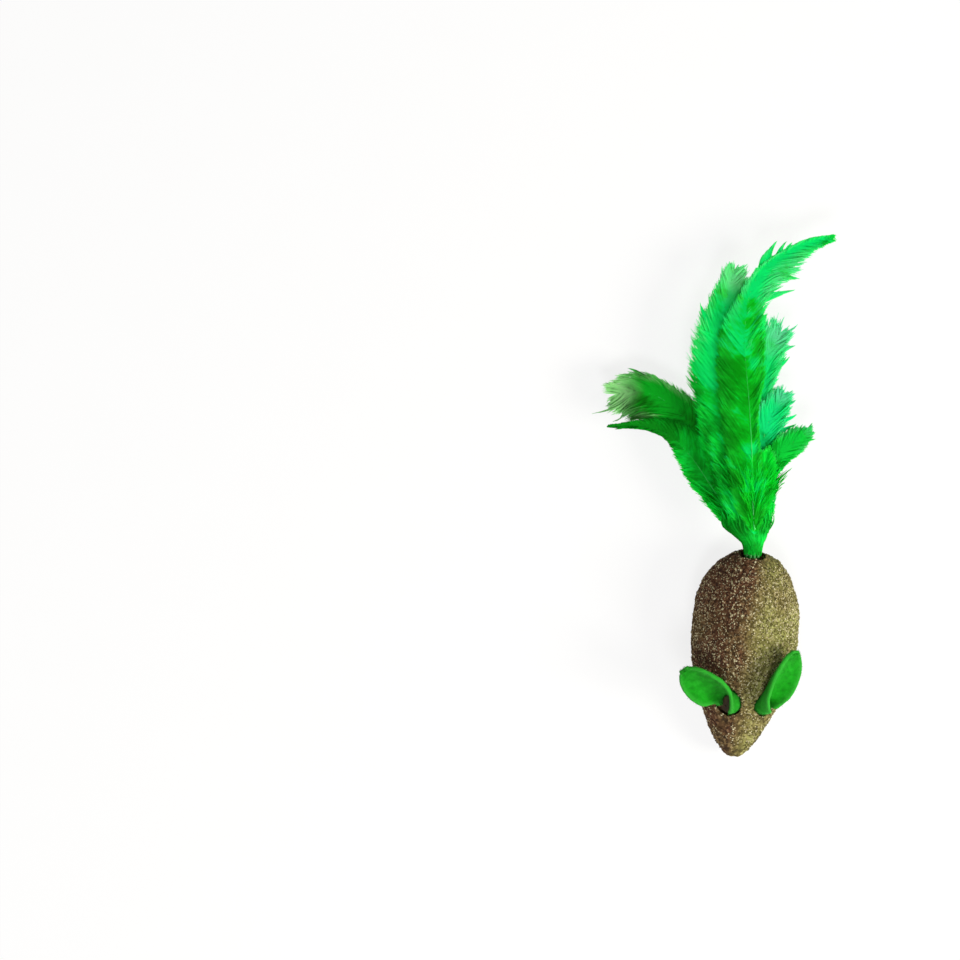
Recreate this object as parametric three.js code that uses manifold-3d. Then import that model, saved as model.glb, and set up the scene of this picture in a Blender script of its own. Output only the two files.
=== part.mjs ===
// A catnip mouse: a body pressed from ground herb, two cupped felt ears and a tail of dyed feathers.
// Millimetres, +Z up. The nose points along -Y, the tail along +Y, and the belly lies on the XY plane.
import * as THREE from 'three';
import { mergeVertices } from 'three/addons/utils/BufferGeometryUtils.js';
import Module from 'manifold-3d';

const wasm = await Module();
wasm.setup();

// Running sizes
const GAP = 0.3; // between pieces that touch on the real toy
const CUT_OVERRUN = 2; // how far a cutting tool runs past what it cuts

// Pressed body
const BODY_LENGTH = 48.2;
const BODY_WIDTH = 24.8;
const BODY_HEIGHT = 20.5;
const BODY_RINGS = 36;
const BODY_SIDES = 32;
const BACK_POWER = 1.72; // below 2, the flanks flatten and meet in a soft ridge
const BELLY_POWER = 2.3;
// Round the end-to-end angle: half width, top, widest level and underside, as shares of width and height, and
// how far the pressed block strays to the right, as a share of its width
const BODY_SHARES = [
  { turn: 0, width: 0, top: 0.25, level: 0.25, under: 0.25, stray: 0 },
  { turn: 0.07, width: 0.16, top: 0.34, level: 0.26, under: 0.15, stray: 0 },
  { turn: 0.13, width: 0.26, top: 0.41, level: 0.28, under: 0.08, stray: 0 },
  { turn: 0.2, width: 0.41, top: 0.5, level: 0.3, under: 0, stray: 0 },
  { turn: 0.28, width: 0.59, top: 0.62, level: 0.32, under: -0.05, stray: 0.009 },
  { turn: 0.37, width: 0.79, top: 0.78, level: 0.34, under: -0.07, stray: 0.017 },
  { turn: 0.46, width: 0.945, top: 0.92, level: 0.36, under: -0.08, stray: 0.024 },
  { turn: 0.55, width: 1, top: 0.99, level: 0.37, under: -0.08, stray: 0.026 },
  { turn: 0.645, width: 0.98, top: 1, level: 0.38, under: -0.08, stray: 0.025 },
  { turn: 0.74, width: 0.85, top: 0.94, level: 0.4, under: -0.06, stray: 0.025 },
  { turn: 0.82, width: 0.655, top: 0.84, level: 0.42, under: 0, stray: 0.03 },
  { turn: 0.89, width: 0.44, top: 0.71, level: 0.44, under: 0.13, stray: 0.033 },
  { turn: 1, width: 0, top: 0.46, level: 0.46, under: 0.46, stray: 0.036 },
];
const SLOPE_STEP = 0.3; // over which the slope of the back is measured

// Felt ears, rolled at the root and glued into drilled holes
const EAR_THICKNESS = 0.95;
const EAR_TIP_RADIUS = 8; // how open the cup is at the tip
const EAR_ROOT_DEPTH = 2.3;
const EAR_ROOT_RISE = 4.2; // how far the felt follows the hole before it leans back
const EAR_HINGE_RISE = 1.1; // the bend line, above the mouth of the hole
const EAR_HOLE_CLEARANCE = 0.3;
const EAR_GLUE_DEPTH = 0.9;
const EAR_ROWS = 18;
const EAR_COLUMNS = 12;
const EAR_SWEEP_STEP = 6; // degrees between the cuts that keep a bending ear off the body
const EAR_WIDTH_SHARES = [
  [0, 1.02], [0.14, 0.9], [0.28, 0.88], [0.42, 0.96], [0.6, 1], [0.76, 0.92], [0.88, 0.72], [0.96, 0.44],
  [1, 0.2],
];
const EAR_OPEN_SHARES = [[0, 0], [0.18, 0.04], [0.35, 0.2], [0.6, 0.62], [1, 1]];
const EAR_ROLL = 2.55; // radians that the rolled root wraps round on each side
const EAR_TURN_START = 0.05; // between these shares of the ear, the turn of its root fades out
const EAR_TURN_END = 0.5;
const DRILL_SHARES = { square: 0.8, reach: 0.6, up: 1.2 }; // the hole leans between these directions
// Each ear is cut and set by hand, so the two differ: its place, its half width, the middle of the felt in
// the rolled root, its reach, its lean from straight back, its rise, its roll and the turn of its root
const EARS = [
  {
    name: 'ear_left', side: -1, fromNose: 13, spread: 2.5, halfWidth: 5.3, rootRadius: 2.3, reach: 15,
    lean: 57, rise: 33, roll: 42, rootTurn: -42, foldForward: 45, foldBack: 12,
  },
  {
    name: 'ear_right', side: 1, fromNose: 12.9, spread: 6.1, halfWidth: 5.8, rootRadius: 1.7, reach: 15.8,
    lean: 25, rise: 29, roll: 60, rootTurn: 10, foldForward: 45, foldBack: 12,
  },
];

// Tail socket, and what holds the quills in it
const TAIL_HEIGHT = 12.2;
const TAIL_INSET = 0.2; // the bend point, inside the rear end
const SOCKET_RADIUS = 2.95;
const SOCKET_DEPTH = 11;
const QUILL_RADIUS = 0.36;
const QUILL_PITCH = 0.85;
const BOND_RADIUS = 0.52; // a quill with the glue that joins it to its neighbours
const NECK_RADIUS = 2.1; // the ball round the bend point that holds the neck
const THREAD_RADIUS = 0.22;
const THREAD_PITCH = 0.95;
const THREAD_TURNS = 5;
const THREAD_STEPS = 24;
const THREAD_SIDES = 6;
const TAIL_GLUE_DEPTH = 1.3;
const ROUND_SIDES = 24;
const BOND_SIDES = 10;

// Feathers lie in layers that fan out from the neck, top layer first
const TAIL_REACH = 73; // from the bend point to the furthest tip, straight back
const FAN_START = 4.6; // where the layers are apart and the vanes begin
const FAN_FULL = 13;
const LAYER_PITCH_START = 0.72;
const LAYER_PITCH = 1.0;
const LAYER_PITCH_END = 0.65; // at the furthest tip, where only a few layers are left
const TAIL_DROOP = 4.2; // how far the middle layer hangs at the furthest tip
const VANE_HALF_THICKNESS = 0.2;
const VANE_EDGE_HALF_THICKNESS = 0.12;
const QUILL_TIP_RADIUS = 0.21;
const STATION_PITCH = 2.1;
const VANE_OPENING = 4.4; // the stretch over which a vane opens to its full width
const VANE_OPEN_SHARES = [[0, 0], [0.3, 0.55], [1, 1]];
const BARB_SWEEP_SHARE = 0.42; // how far a vane's edge is carried towards the tip, of its width
const RAGGED_SHARES = [1, 0.87, 0.97, 0.8, 0.93, 1, 0.84]; // the torn edge, station by station
// column and row are the quill's place in the bundle. shaftShares is the shaft in plan, of the tail's reach
const FEATHERS = [
  {
    name: 'long_feather', column: 0.5, row: 1, leftWidth: 7.6, rightWidth: 8.2,
    shaftShares: [
      [-0.012, 0.16], [-0.025, 0.31], [-0.045, 0.47], [-0.067, 0.62], [-0.072, 0.73], [-0.059, 0.82],
      [-0.022, 0.89], [0.058, 0.95], [0.123, 0.98], [0.186, 0.997],
    ],
    leftShares: [
      [0, 0.45], [0.2, 0.85], [0.4, 1], [0.56, 0.86], [0.68, 0.4], [0.8, 0.16], [0.93, 0.14], [1, 0.1],
    ],
    rightShares: [
      [0, 0.4], [0.12, 0.42], [0.24, 0.3], [0.36, 0.3], [0.45, 0.58], [0.56, 0.64], [0.66, 0.66], [0.76, 0.96],
      [0.85, 0.7], [0.92, 0.34], [0.97, 0.18], [1, 0.12],
    ],
  },
  {
    name: 'crest_plume', column: 0.5, row: 0, leftWidth: 3.6, rightWidth: 3.8,
    shaftShares: [[0.001, 0.13], [0.01, 0.22], [0.028, 0.32]],
    leftShares: [[0, 0.8], [0.5, 1], [0.85, 0.7], [1, 0.2]],
    rightShares: [[0, 0.8], [0.5, 1], [0.85, 0.7], [1, 0.2]],
  },
  {
    name: 'broad_plume', column: -0.5, row: 1, leftWidth: 8.4, rightWidth: 7.6,
    shaftShares: [
      [-0.052, 0.19], [-0.095, 0.37], [-0.13, 0.55], [-0.14, 0.69], [-0.132, 0.8], [-0.117, 0.87],
    ],
    leftShares: [[0, 0.4], [0.2, 0.65], [0.4, 0.85], [0.6, 1], [0.78, 0.78], [0.9, 0.46], [1, 0.3]],
    rightShares: [[0, 0.35], [0.2, 0.7], [0.5, 1], [0.8, 0.95], [0.92, 0.8], [1, 0.4]],
  },
  {
    name: 'centre_feather', column: -0.5, row: 0, leftWidth: 7, rightWidth: 6.5,
    shaftShares: [[-0.042, 0.155], [-0.079, 0.28], [-0.122, 0.4], [-0.172, 0.5]],
    leftShares: [[0, 0.5], [0.3, 0.85], [0.6, 1], [0.85, 0.72], [1, 0.15]],
    rightShares: [[0, 0.5], [0.3, 0.85], [0.6, 1], [0.85, 0.72], [1, 0.15]],
  },
  {
    name: 'right_side_feather', column: 1.5, row: 0.5, leftWidth: 4, rightWidth: 4.2,
    shaftShares: [[0.018, 0.144], [0.03, 0.223], [0.056, 0.29], [0.098, 0.342], [0.155, 0.388]],
    leftShares: [[0, 0.6], [0.4, 0.8], [0.7, 1], [0.9, 0.8], [1, 0.25]],
    rightShares: [[0, 0.6], [0.25, 0.5], [0.45, 0.4], [0.65, 0.72], [0.85, 0.8], [1, 0.3]],
  },
  {
    name: 'right_down_plume', column: 1.5, row: -0.5, leftWidth: 5.2, rightWidth: 6,
    shaftShares: [[0.01, 0.16], [0.006, 0.28], [0.016, 0.38], [0.038, 0.44], [0.063, 0.49]],
    leftShares: [[0, 0.5], [0.4, 0.85], [0.7, 1], [0.9, 0.8], [1, 0.5]],
    rightShares: [[0, 0.6], [0.3, 0.7], [0.6, 0.7], [0.82, 0.74], [1, 0.45]],
  },
  {
    name: 'right_plume', column: 0.5, row: -1, leftWidth: 7.5, rightWidth: 5.8,
    shaftShares: [[-0.006, 0.22], [-0.009, 0.38], [-0.008, 0.5], [0.004, 0.6], [0.02, 0.65], [0.04, 0.685]],
    leftShares: [[0, 0.4], [0.3, 0.8], [0.6, 1], [0.85, 0.8], [1, 0.6]],
    rightShares: [[0, 0.5], [0.25, 0.6], [0.5, 0.55], [0.7, 0.62], [0.86, 0.8], [1, 0.6]],
  },
  {
    name: 'lower_left_feather', column: -1.5, row: 0.5, leftWidth: 4.2, rightWidth: 6,
    shaftShares: [
      [-0.092, 0.125], [-0.152, 0.205], [-0.212, 0.28], [-0.274, 0.335], [-0.347, 0.362], [-0.472, 0.358],
    ],
    leftShares: [[0, 0.6], [0.25, 0.8], [0.42, 1], [0.56, 0.7], [0.68, 0.32], [0.84, 0.18], [1, 0.07]],
    rightShares: [[0, 0.5], [0.25, 0.85], [0.45, 1], [0.62, 0.8], [0.78, 0.4], [0.9, 0.2], [1, 0.08]],
  },
  {
    name: 'left_side_feather', column: -1.5, row: -0.5, leftWidth: 8, rightWidth: 5.2,
    shaftShares: [
      [-0.062, 0.138], [-0.117, 0.23], [-0.187, 0.335], [-0.262, 0.42], [-0.338, 0.465], [-0.412, 0.473],
      [-0.457, 0.461],
    ],
    leftShares: [[0, 0.5], [0.3, 0.62], [0.5, 0.75], [0.7, 0.92], [0.86, 1], [1, 0.6]],
    rightShares: [[0, 0.5], [0.3, 0.75], [0.5, 0.95], [0.62, 1], [0.76, 0.88], [0.9, 1], [1, 0.7]],
  },
  {
    name: 'under_plume', column: -0.5, row: -1, leftWidth: 4.8, rightWidth: 4.8,
    shaftShares: [[-0.062, 0.122], [-0.112, 0.2], [-0.162, 0.26]],
    leftShares: [[0, 0.75], [0.5, 1], [0.85, 0.7], [1, 0.2]],
    rightShares: [[0, 0.75], [0.5, 1], [0.85, 0.7], [1, 0.2]],
  },
];

const HALF_TURN = Math.PI;
const radians = THREE.MathUtils.degToRad;
const UP = new THREE.Vector3(0, 0, 1);
const BACK = new THREE.Vector3(0, 1, 0);

// Materials
const material = (color, roughness) => new THREE.MeshStandardMaterial({ color, roughness, metalness: 0 });
const herbMaterial = material('#7d7248', 0.95);
const feltMaterial = material('#1c951f', 0.9);
const glueMaterial = material('#4c3b22', 0.35);
const threadMaterial = material('#15803a', 0.8);
const quillMaterial = material('#2fbf55', 0.55);
const featherMaterial = material('#12c23c', 0.7);

// Smooth curve through a table of [share, value] points
function alongTable(table, share) {
  const last = table.length - 1;
  const found = table.findIndex((point) => point[0] > share);
  const after = found < 0 ? last : Math.max(found, 1);
  const [x0, y0] = table[after - 1];
  const [x1, y1] = table[after];
  const slope = (a, b) => (table[b][1] - table[a][1]) / (table[b][0] - table[a][0]);
  const m0 = slope(Math.max(after - 2, 0), after);
  const m1 = slope(after - 1, Math.min(after + 1, last));
  const span = x1 - x0;
  const t = THREE.MathUtils.clamp((share - x0) / span, 0, 1);
  const rise = y1 - y0;
  const squared = 3 * rise - (2 * m0 + m1) * span;
  const cubed = (m0 + m1) * span - 2 * rise;
  return y0 + m0 * span * t + squared * t ** 2 + cubed * t ** 3;
}

// Geometry from points and triangles, with its faces turned outwards
function closedGeometry(points, triangles) {
  const volume = triangles.reduce((sum, [a, b, c]) => (
    sum + points[a].dot(new THREE.Vector3().crossVectors(points[b], points[c]))), 0);
  const facing = volume < 0 ? triangles.map(([a, b, c]) => [a, c, b]) : triangles;
  const geometry = new THREE.BufferGeometry().setFromPoints(points);
  geometry.setIndex(facing.flat());
  return geometry;
}

// A closed loft through rings of equal count, ending in a point at each end
function loftGeometry(rings, firstPoint, lastPoint) {
  const count = rings[0].length;
  const points = [...rings.flat(), firstPoint, lastPoint];
  const first = points.length - 2;
  const last = points.length - 1;
  const triangles = [];
  for (let i = 0; i < count; i++) {
    const next = (i + 1) % count;
    triangles.push([first, next, i]);
    for (let ring = 0; ring < rings.length - 1; ring++) {
      const a = ring * count;
      triangles.push([a + i, a + next, a + count + next]);
      triangles.push([a + i, a + count + next, a + count + i]);
    }
    const end = (rings.length - 1) * count;
    triangles.push([last, end + i, end + next]);
  }
  return closedGeometry(points, triangles);
}

// A closed sheet from rows that each hold matching over and under points
function sheetGeometry(rows) {
  const count = rows[0].over.length;
  const rings = rows.map((row) => [...row.over, ...row.under.slice().reverse()]);
  const size = 2 * count;
  const points = rings.flat();
  const triangles = [];
  const quad = (a, b, c, d) => triangles.push([a, b, c], [a, c, d]);
  for (let row = 0; row < rows.length - 1; row++) {
    for (let i = 0; i < size; i++) {
      const next = (i + 1) % size;
      quad(row * size + i, row * size + next, (row + 1) * size + next, (row + 1) * size + i);
    }
  }
  const end = (rows.length - 1) * size;
  for (let i = 0; i < count - 1; i++) {
    quad(size - 1 - i, size - 2 - i, i + 1, i);
    quad(end + i, end + i + 1, end + size - 2 - i, end + size - 1 - i);
  }
  return closedGeometry(points, triangles);
}

function solidOf(geometry) {
  const bare = new THREE.BufferGeometry().setAttribute('position', geometry.getAttribute('position'));
  bare.setIndex(geometry.index);
  const merged = mergeVertices(bare);
  return new wasm.Manifold(new wasm.Mesh({
    numProp: 3,
    vertProperties: merged.attributes.position.array,
    triVerts: new Uint32Array(merged.index.array),
  }));
}

function geometryOf(solid) {
  const mesh = solid.getMesh();
  const geometry = new THREE.BufferGeometry();
  geometry.setAttribute('position', new THREE.BufferAttribute(mesh.vertProperties, mesh.numProp));
  geometry.setIndex(new THREE.BufferAttribute(mesh.triVerts, 1));
  return geometry;
}

// A round bar from one point along a direction
function barSolid(from, direction, length, radius, sides) {
  const bar = new THREE.CylinderGeometry(radius, radius, length, sides);
  bar.translate(0, length / 2, 0);
  bar.applyQuaternion(new THREE.Quaternion().setFromUnitVectors(BACK, direction));
  bar.translate(from.x, from.y, from.z);
  return solidOf(bar);
}

function ballSolid(centre, radius) {
  const ball = new THREE.SphereGeometry(radius, ROUND_SIDES, ROUND_SIDES / 2);
  return solidOf(ball.translate(centre.x, centre.y, centre.z));
}

function turnedAbout(solid, point, axis, degrees) {
  const turn = new THREE.Matrix4().makeRotationAxis(axis, radians(degrees));
  const there = new THREE.Matrix4().makeTranslation(point.x, point.y, point.z);
  const back = new THREE.Matrix4().makeTranslation(-point.x, -point.y, -point.z);
  return solid.transform(there.multiply(turn).multiply(back).elements);
}

// Pressed body

const bodySection = (turn) => Object.fromEntries(['width', 'top', 'level', 'under', 'stray'].map((key) => (
  [key, alongTable(BODY_SHARES.map((row) => [row.turn, row[key]]), turn)])));
const bodyTurn = (y) => Math.acos(THREE.MathUtils.clamp((-2 * y) / BODY_LENGTH, -1, 1)) / HALF_TURN;
const bodyY = (turn) => (-BODY_LENGTH / 2) * Math.cos(turn * HALF_TURN);

// Height of the body's back over a place in plan
function backHeight(x, y) {
  const { width, top, level, stray } = bodySection(bodyTurn(y));
  const across = Math.min(Math.abs(x - stray * BODY_WIDTH) / ((width * BODY_WIDTH) / 2), 1);
  return BODY_HEIGHT * (level + (top - level) * (1 - across ** BACK_POWER) ** (1 / BACK_POWER));
}

function backNormal(x, y) {
  const slopeX = (backHeight(x + SLOPE_STEP, y) - backHeight(x - SLOPE_STEP, y)) / (2 * SLOPE_STEP);
  const slopeY = (backHeight(x, y + SLOPE_STEP) - backHeight(x, y - SLOPE_STEP)) / (2 * SLOPE_STEP);
  return new THREE.Vector3(-slopeX, -slopeY, 1).normalize();
}

// One ring of the body: a rounded gable over its widest level, and a fuller curve below it
function bodyRing(turn, margin) {
  const { width, top, level, under, stray } = bodySection(turn);
  const half = (width * BODY_WIDTH) / 2 + margin;
  return Array.from({ length: BODY_SIDES }, (_, side) => {
    const angle = (2 * HALF_TURN * side) / BODY_SIDES;
    const above = Math.sin(angle) > 0;
    const power = above ? BACK_POWER : BELLY_POWER;
    const reach = BODY_HEIGHT * (above ? top - level : level - under) + margin;
    const bulge = (value) => Math.sign(value) * Math.abs(value) ** (2 / power);
    const x = stray * BODY_WIDTH + half * bulge(Math.cos(angle));
    const z = BODY_HEIGHT * level + reach * bulge(Math.sin(angle));
    return new THREE.Vector3(x, bodyY(turn) * (1 + (2 * margin) / BODY_LENGTH), z);
  });
}

function bodyPole(turn, margin) {
  const { level, stray } = bodySection(turn);
  const y = bodyY(turn);
  return new THREE.Vector3(stray * BODY_WIDTH, y + Math.sign(y) * margin, BODY_HEIGHT * level);
}

// The loft of the body, grown outwards by a margin
function bodyLoft(margin) {
  const turns = Array.from({ length: BODY_RINGS - 1 }, (_, ring) => (ring + 1) / BODY_RINGS);
  const rings = turns.map((turn) => bodyRing(turn, margin));
  return solidOf(loftGeometry(rings, bodyPole(0, margin), bodyPole(1, margin)));
}

function bodySolid() {
  const floorCut = new THREE.BoxGeometry(2 * BODY_WIDTH, 2 * BODY_LENGTH, BODY_HEIGHT);
  floorCut.translate(0, 0, -BODY_HEIGHT / 2);
  let body = bodyLoft(0).subtract(solidOf(floorCut));
  for (const ear of earLayouts) {
    const depth = EAR_HOLE_DEPTH + 2 * ear.holeRadius;
    body = body.subtract(barSolid(ear.holeBottom, ear.holeAxis, depth, ear.holeRadius, ROUND_SIDES));
  }
  const socketBottom = tailPoint.clone().addScaledVector(BACK, -SOCKET_DEPTH);
  return body.subtract(barSolid(socketBottom, BACK, SOCKET_DEPTH + CUT_OVERRUN, SOCKET_RADIUS, ROUND_SIDES));
}

// Ears

const EAR_HOLE_DEPTH = EAR_ROOT_DEPTH + EAR_GLUE_DEPTH + 2 * GAP;

// Where an ear stands, which way it reaches and which way its hollow faces
function earLayout(ear) {
  const x = ear.side * ear.spread;
  const y = ear.fromNose - BODY_LENGTH / 2;
  const mouth = new THREE.Vector3(x, y, backHeight(x, y));
  const lean = radians(ear.lean);
  const rise = radians(ear.rise);
  const level = new THREE.Vector3(ear.side * Math.sin(lean), Math.cos(lean), 0);
  const reach = level.multiplyScalar(Math.cos(rise)).addScaledVector(UP, Math.sin(rise));
  const holeAxis = backNormal(x, y).multiplyScalar(DRILL_SHARES.square);
  holeAxis.addScaledVector(reach, DRILL_SHARES.reach).addScaledVector(UP, DRILL_SHARES.up).normalize();
  const holeRadius = ear.rootRadius + EAR_THICKNESS / 2 + EAR_HOLE_CLEARANCE;
  const facing = UP.clone().addScaledVector(reach, -UP.dot(reach)).normalize();
  facing.applyAxisAngle(reach, ear.side * radians(ear.roll));
  const bend = mouth.clone().addScaledVector(holeAxis, EAR_ROOT_RISE);
  const tip = mouth.clone().addScaledVector(reach, ear.reach);
  const spine = new THREE.QuadraticBezierCurve3(mouth, bend, tip);
  const holeBottom = mouth.clone().addScaledVector(holeAxis, -EAR_HOLE_DEPTH);
  const hinge = mouth.clone().addScaledVector(holeAxis, EAR_HINGE_RISE);
  const across = new THREE.Vector3().crossVectors(holeAxis, facing).normalize();
  return { ...ear, mouth, holeAxis, holeRadius, facing, spine, holeBottom, hinge, across };
}

// How the felt is curled at a share of the ear: radius, half width and turn about its own length
function feltCurl(ear, share) {
  const radius = ear.rootRadius + (EAR_TIP_RADIUS - ear.rootRadius) * alongTable(EAR_OPEN_SHARES, share);
  const halfWidth = Math.min(ear.halfWidth * alongTable(EAR_WIDTH_SHARES, share), radius * EAR_ROLL);
  const turn = radians(ear.rootTurn) * (1 - THREE.MathUtils.smoothstep(share, EAR_TURN_START, EAR_TURN_END));
  return { radius, halfWidth, turn };
}

// One row of felt: an arc round a centre
function feltRow(centre, tangent, facing, curl, centring) {
  const { radius, halfWidth, turn } = curl;
  const inward = facing.clone().addScaledVector(tangent, -facing.dot(tangent)).normalize();
  inward.applyAxisAngle(tangent, turn);
  const across = new THREE.Vector3().crossVectors(tangent, inward);
  const arc = (layerRadius) => Array.from({ length: EAR_COLUMNS + 1 }, (_, column) => {
    const angle = ((2 * column) / EAR_COLUMNS - 1) * (halfWidth / radius);
    return centre.clone()
      .addScaledVector(inward, radius - layerRadius * Math.cos(angle) - centring)
      .addScaledVector(across, layerRadius * Math.sin(angle));
  });
  return { over: arc(radius - EAR_THICKNESS / 2), under: arc(radius + EAR_THICKNESS / 2) };
}

function earFlapSolid(ear) {
  const rows = [];
  for (let row = 0; row <= EAR_ROWS; row++) {
    const share = Math.sin((HALF_TURN / 2) * (row / EAR_ROWS)); // rows close up towards the rounded tip
    const curl = feltCurl(ear, share);
    const hollow = curl.radius * (1 - Math.cos(curl.halfWidth / curl.radius));
    const centring = ear.rootRadius * (1 - share) + (hollow / 2) * share;
    rows.push(feltRow(ear.spine.getPoint(share), ear.spine.getTangent(share), ear.facing, curl, centring));
  }
  let flap = solidOf(sheetGeometry(rows));
  const keepOff = bodyLoft(GAP);
  for (let fold = -ear.foldBack; fold <= ear.foldForward; fold += EAR_SWEEP_STEP) {
    flap = flap.subtract(turnedAbout(keepOff, ear.hinge, ear.across, -fold));
  }
  flap = flap.subtract(turnedAbout(keepOff, ear.hinge, ear.across, -ear.foldForward));
  return flap.decompose().sort((a, b) => b.volume() - a.volume())[0];
}

// The rolled root, glued in the drilled hole and level with the skin of the body
function earRootSolid(ear) {
  const rows = [-EAR_ROOT_DEPTH, 0].map((height) => {
    const centre = ear.mouth.clone().addScaledVector(ear.holeAxis, height - GAP);
    return feltRow(centre, ear.holeAxis, ear.facing, feltCurl(ear, 0), ear.rootRadius);
  });
  return solidOf(sheetGeometry(rows)).intersect(bodyLoft(0));
}

// Glue under the root, with a stem that rose inside the roll
function earGlueSolid(ear) {
  const diskRadius = ear.holeRadius - GAP;
  const stemRadius = ear.rootRadius - EAR_THICKNESS / 2 - GAP;
  const from = ear.holeBottom.clone().addScaledVector(ear.holeAxis, GAP);
  const disk = barSolid(from, ear.holeAxis, EAR_GLUE_DEPTH - GAP, diskRadius, ROUND_SIDES);
  return disk.add(barSolid(from, ear.holeAxis, EAR_GLUE_DEPTH + EAR_ROOT_DEPTH / 2, stemRadius, BOND_SIDES));
}

// Tail root

const tailPoint = new THREE.Vector3(bodyPole(1, 0).x, BODY_LENGTH / 2 - TAIL_INSET, TAIL_HEIGHT);
const STUB_LENGTH = SOCKET_DEPTH - NECK_RADIUS - TAIL_GLUE_DEPTH - 2 * GAP;
const quillPlaces = FEATHERS.map(({ column, row }) => ({ x: column * QUILL_PITCH, z: row * QUILL_PITCH }));
const bundleRadius = Math.max(...quillPlaces.map(({ x, z }) => Math.hypot(x, z))) + BOND_RADIUS;

// The quills of every feather, stuck together by glue, over a stretch along Y
function bondedQuills(fromY, length) {
  const bars = quillPlaces.map(({ x, z }) => {
    const from = new THREE.Vector3(tailPoint.x + x, fromY, tailPoint.z + z);
    return barSolid(from, BACK, length, BOND_RADIUS, BOND_SIDES);
  });
  return bars.reduce((whole, bar) => whole.add(bar));
}

function quillEndsSolid() {
  return bondedQuills(tailPoint.y - NECK_RADIUS - GAP - STUB_LENGTH, STUB_LENGTH);
}

function neckSolid() {
  const bars = bondedQuills(tailPoint.y - NECK_RADIUS, 2 * NECK_RADIUS);
  return bars.intersect(ballSolid(tailPoint, NECK_RADIUS));
}

// Thread wound round the quill ends, one unbroken tube
function threadGeometry() {
  const windRadius = bundleRadius + GAP + THREAD_RADIUS;
  const startY = tailPoint.y - NECK_RADIUS - GAP - (STUB_LENGTH + THREAD_TURNS * THREAD_PITCH) / 2;
  const points = Array.from({ length: THREAD_TURNS * THREAD_STEPS + 1 }, (_, step) => {
    const turns = step / THREAD_STEPS;
    const angle = 2 * HALF_TURN * turns;
    const around = new THREE.Vector3(Math.cos(angle), 0, Math.sin(angle)).multiplyScalar(windRadius);
    return new THREE.Vector3(tailPoint.x, startY + THREAD_PITCH * turns, tailPoint.z).add(around);
  });
  let leastGap = Infinity;
  points.forEach((point, i) => {
    points.slice(i + THREAD_STEPS / 2).forEach((other) => {
      leastGap = Math.min(leastGap, point.distanceTo(other) - 2 * THREAD_RADIUS);
    });
  });
  console.log(`tail_thread: ${THREAD_TURNS} turns, least gap to itself ${leastGap.toFixed(2)} mm`);
  const corners = Array.from({ length: THREAD_SIDES }, (_, side) => {
    const angle = (2 * HALF_TURN * side) / THREAD_SIDES;
    return new THREE.Vector2(THREAD_RADIUS * Math.cos(angle), THREAD_RADIUS * Math.sin(angle));
  });
  return new THREE.ExtrudeGeometry(new THREE.Shape(corners), {
    steps: points.length - 1, bevelEnabled: false, extrudePath: new THREE.CatmullRomCurve3(points),
  });
}

function tailGlueSolid() {
  const from = tailPoint.clone().addScaledVector(BACK, GAP - SOCKET_DEPTH);
  return barSolid(from, BACK, TAIL_GLUE_DEPTH - GAP, SOCKET_RADIUS - GAP, ROUND_SIDES);
}

// Feathers

// Height of a feather's layer over the bend point, at a distance from it
function layerHeight(layer, distance) {
  const opened = THREE.MathUtils.smoothstep(distance, FAN_START, FAN_FULL);
  const spread = Math.max((distance - FAN_FULL) / (TAIL_REACH - FAN_FULL), 0);
  const lasting = LAYER_PITCH + (LAYER_PITCH_END - LAYER_PITCH) * spread;
  const pitch = LAYER_PITCH_START * (1 - opened) + lasting * opened;
  const middle = (FEATHERS.length - 1) / 2;
  return (middle - layer) * pitch - TAIL_DROOP * (distance / TAIL_REACH) ** 2;
}

// The shaft in plan, from the neck's ball to the tip, with its direction at each station
function shaftStations(feather, place) {
  const offAxis = Math.min(Math.hypot(place.x, place.z), NECK_RADIUS);
  const start = Math.sqrt((NECK_RADIUS + GAP) ** 2 - offAxis ** 2);
  const points = feather.shaftShares.map(([x, y]) => new THREE.Vector3(x * TAIL_REACH, y * TAIL_REACH, 0));
  const curve = new THREE.CatmullRomCurve3([new THREE.Vector3(place.x, start, 0), ...points]);
  const count = Math.round(curve.getLength() / STATION_PITCH);
  return Array.from({ length: count + 1 }, (_, station) => {
    const share = station / count;
    const at = curve.getPointAt(share);
    const along = curve.getTangentAt(share);
    const ragged = RAGGED_SHARES[station % RAGGED_SHARES.length];
    return { at: new THREE.Vector2(at.x, at.y), along: new THREE.Vector2(along.x, along.y), share, ragged };
  });
}

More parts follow.
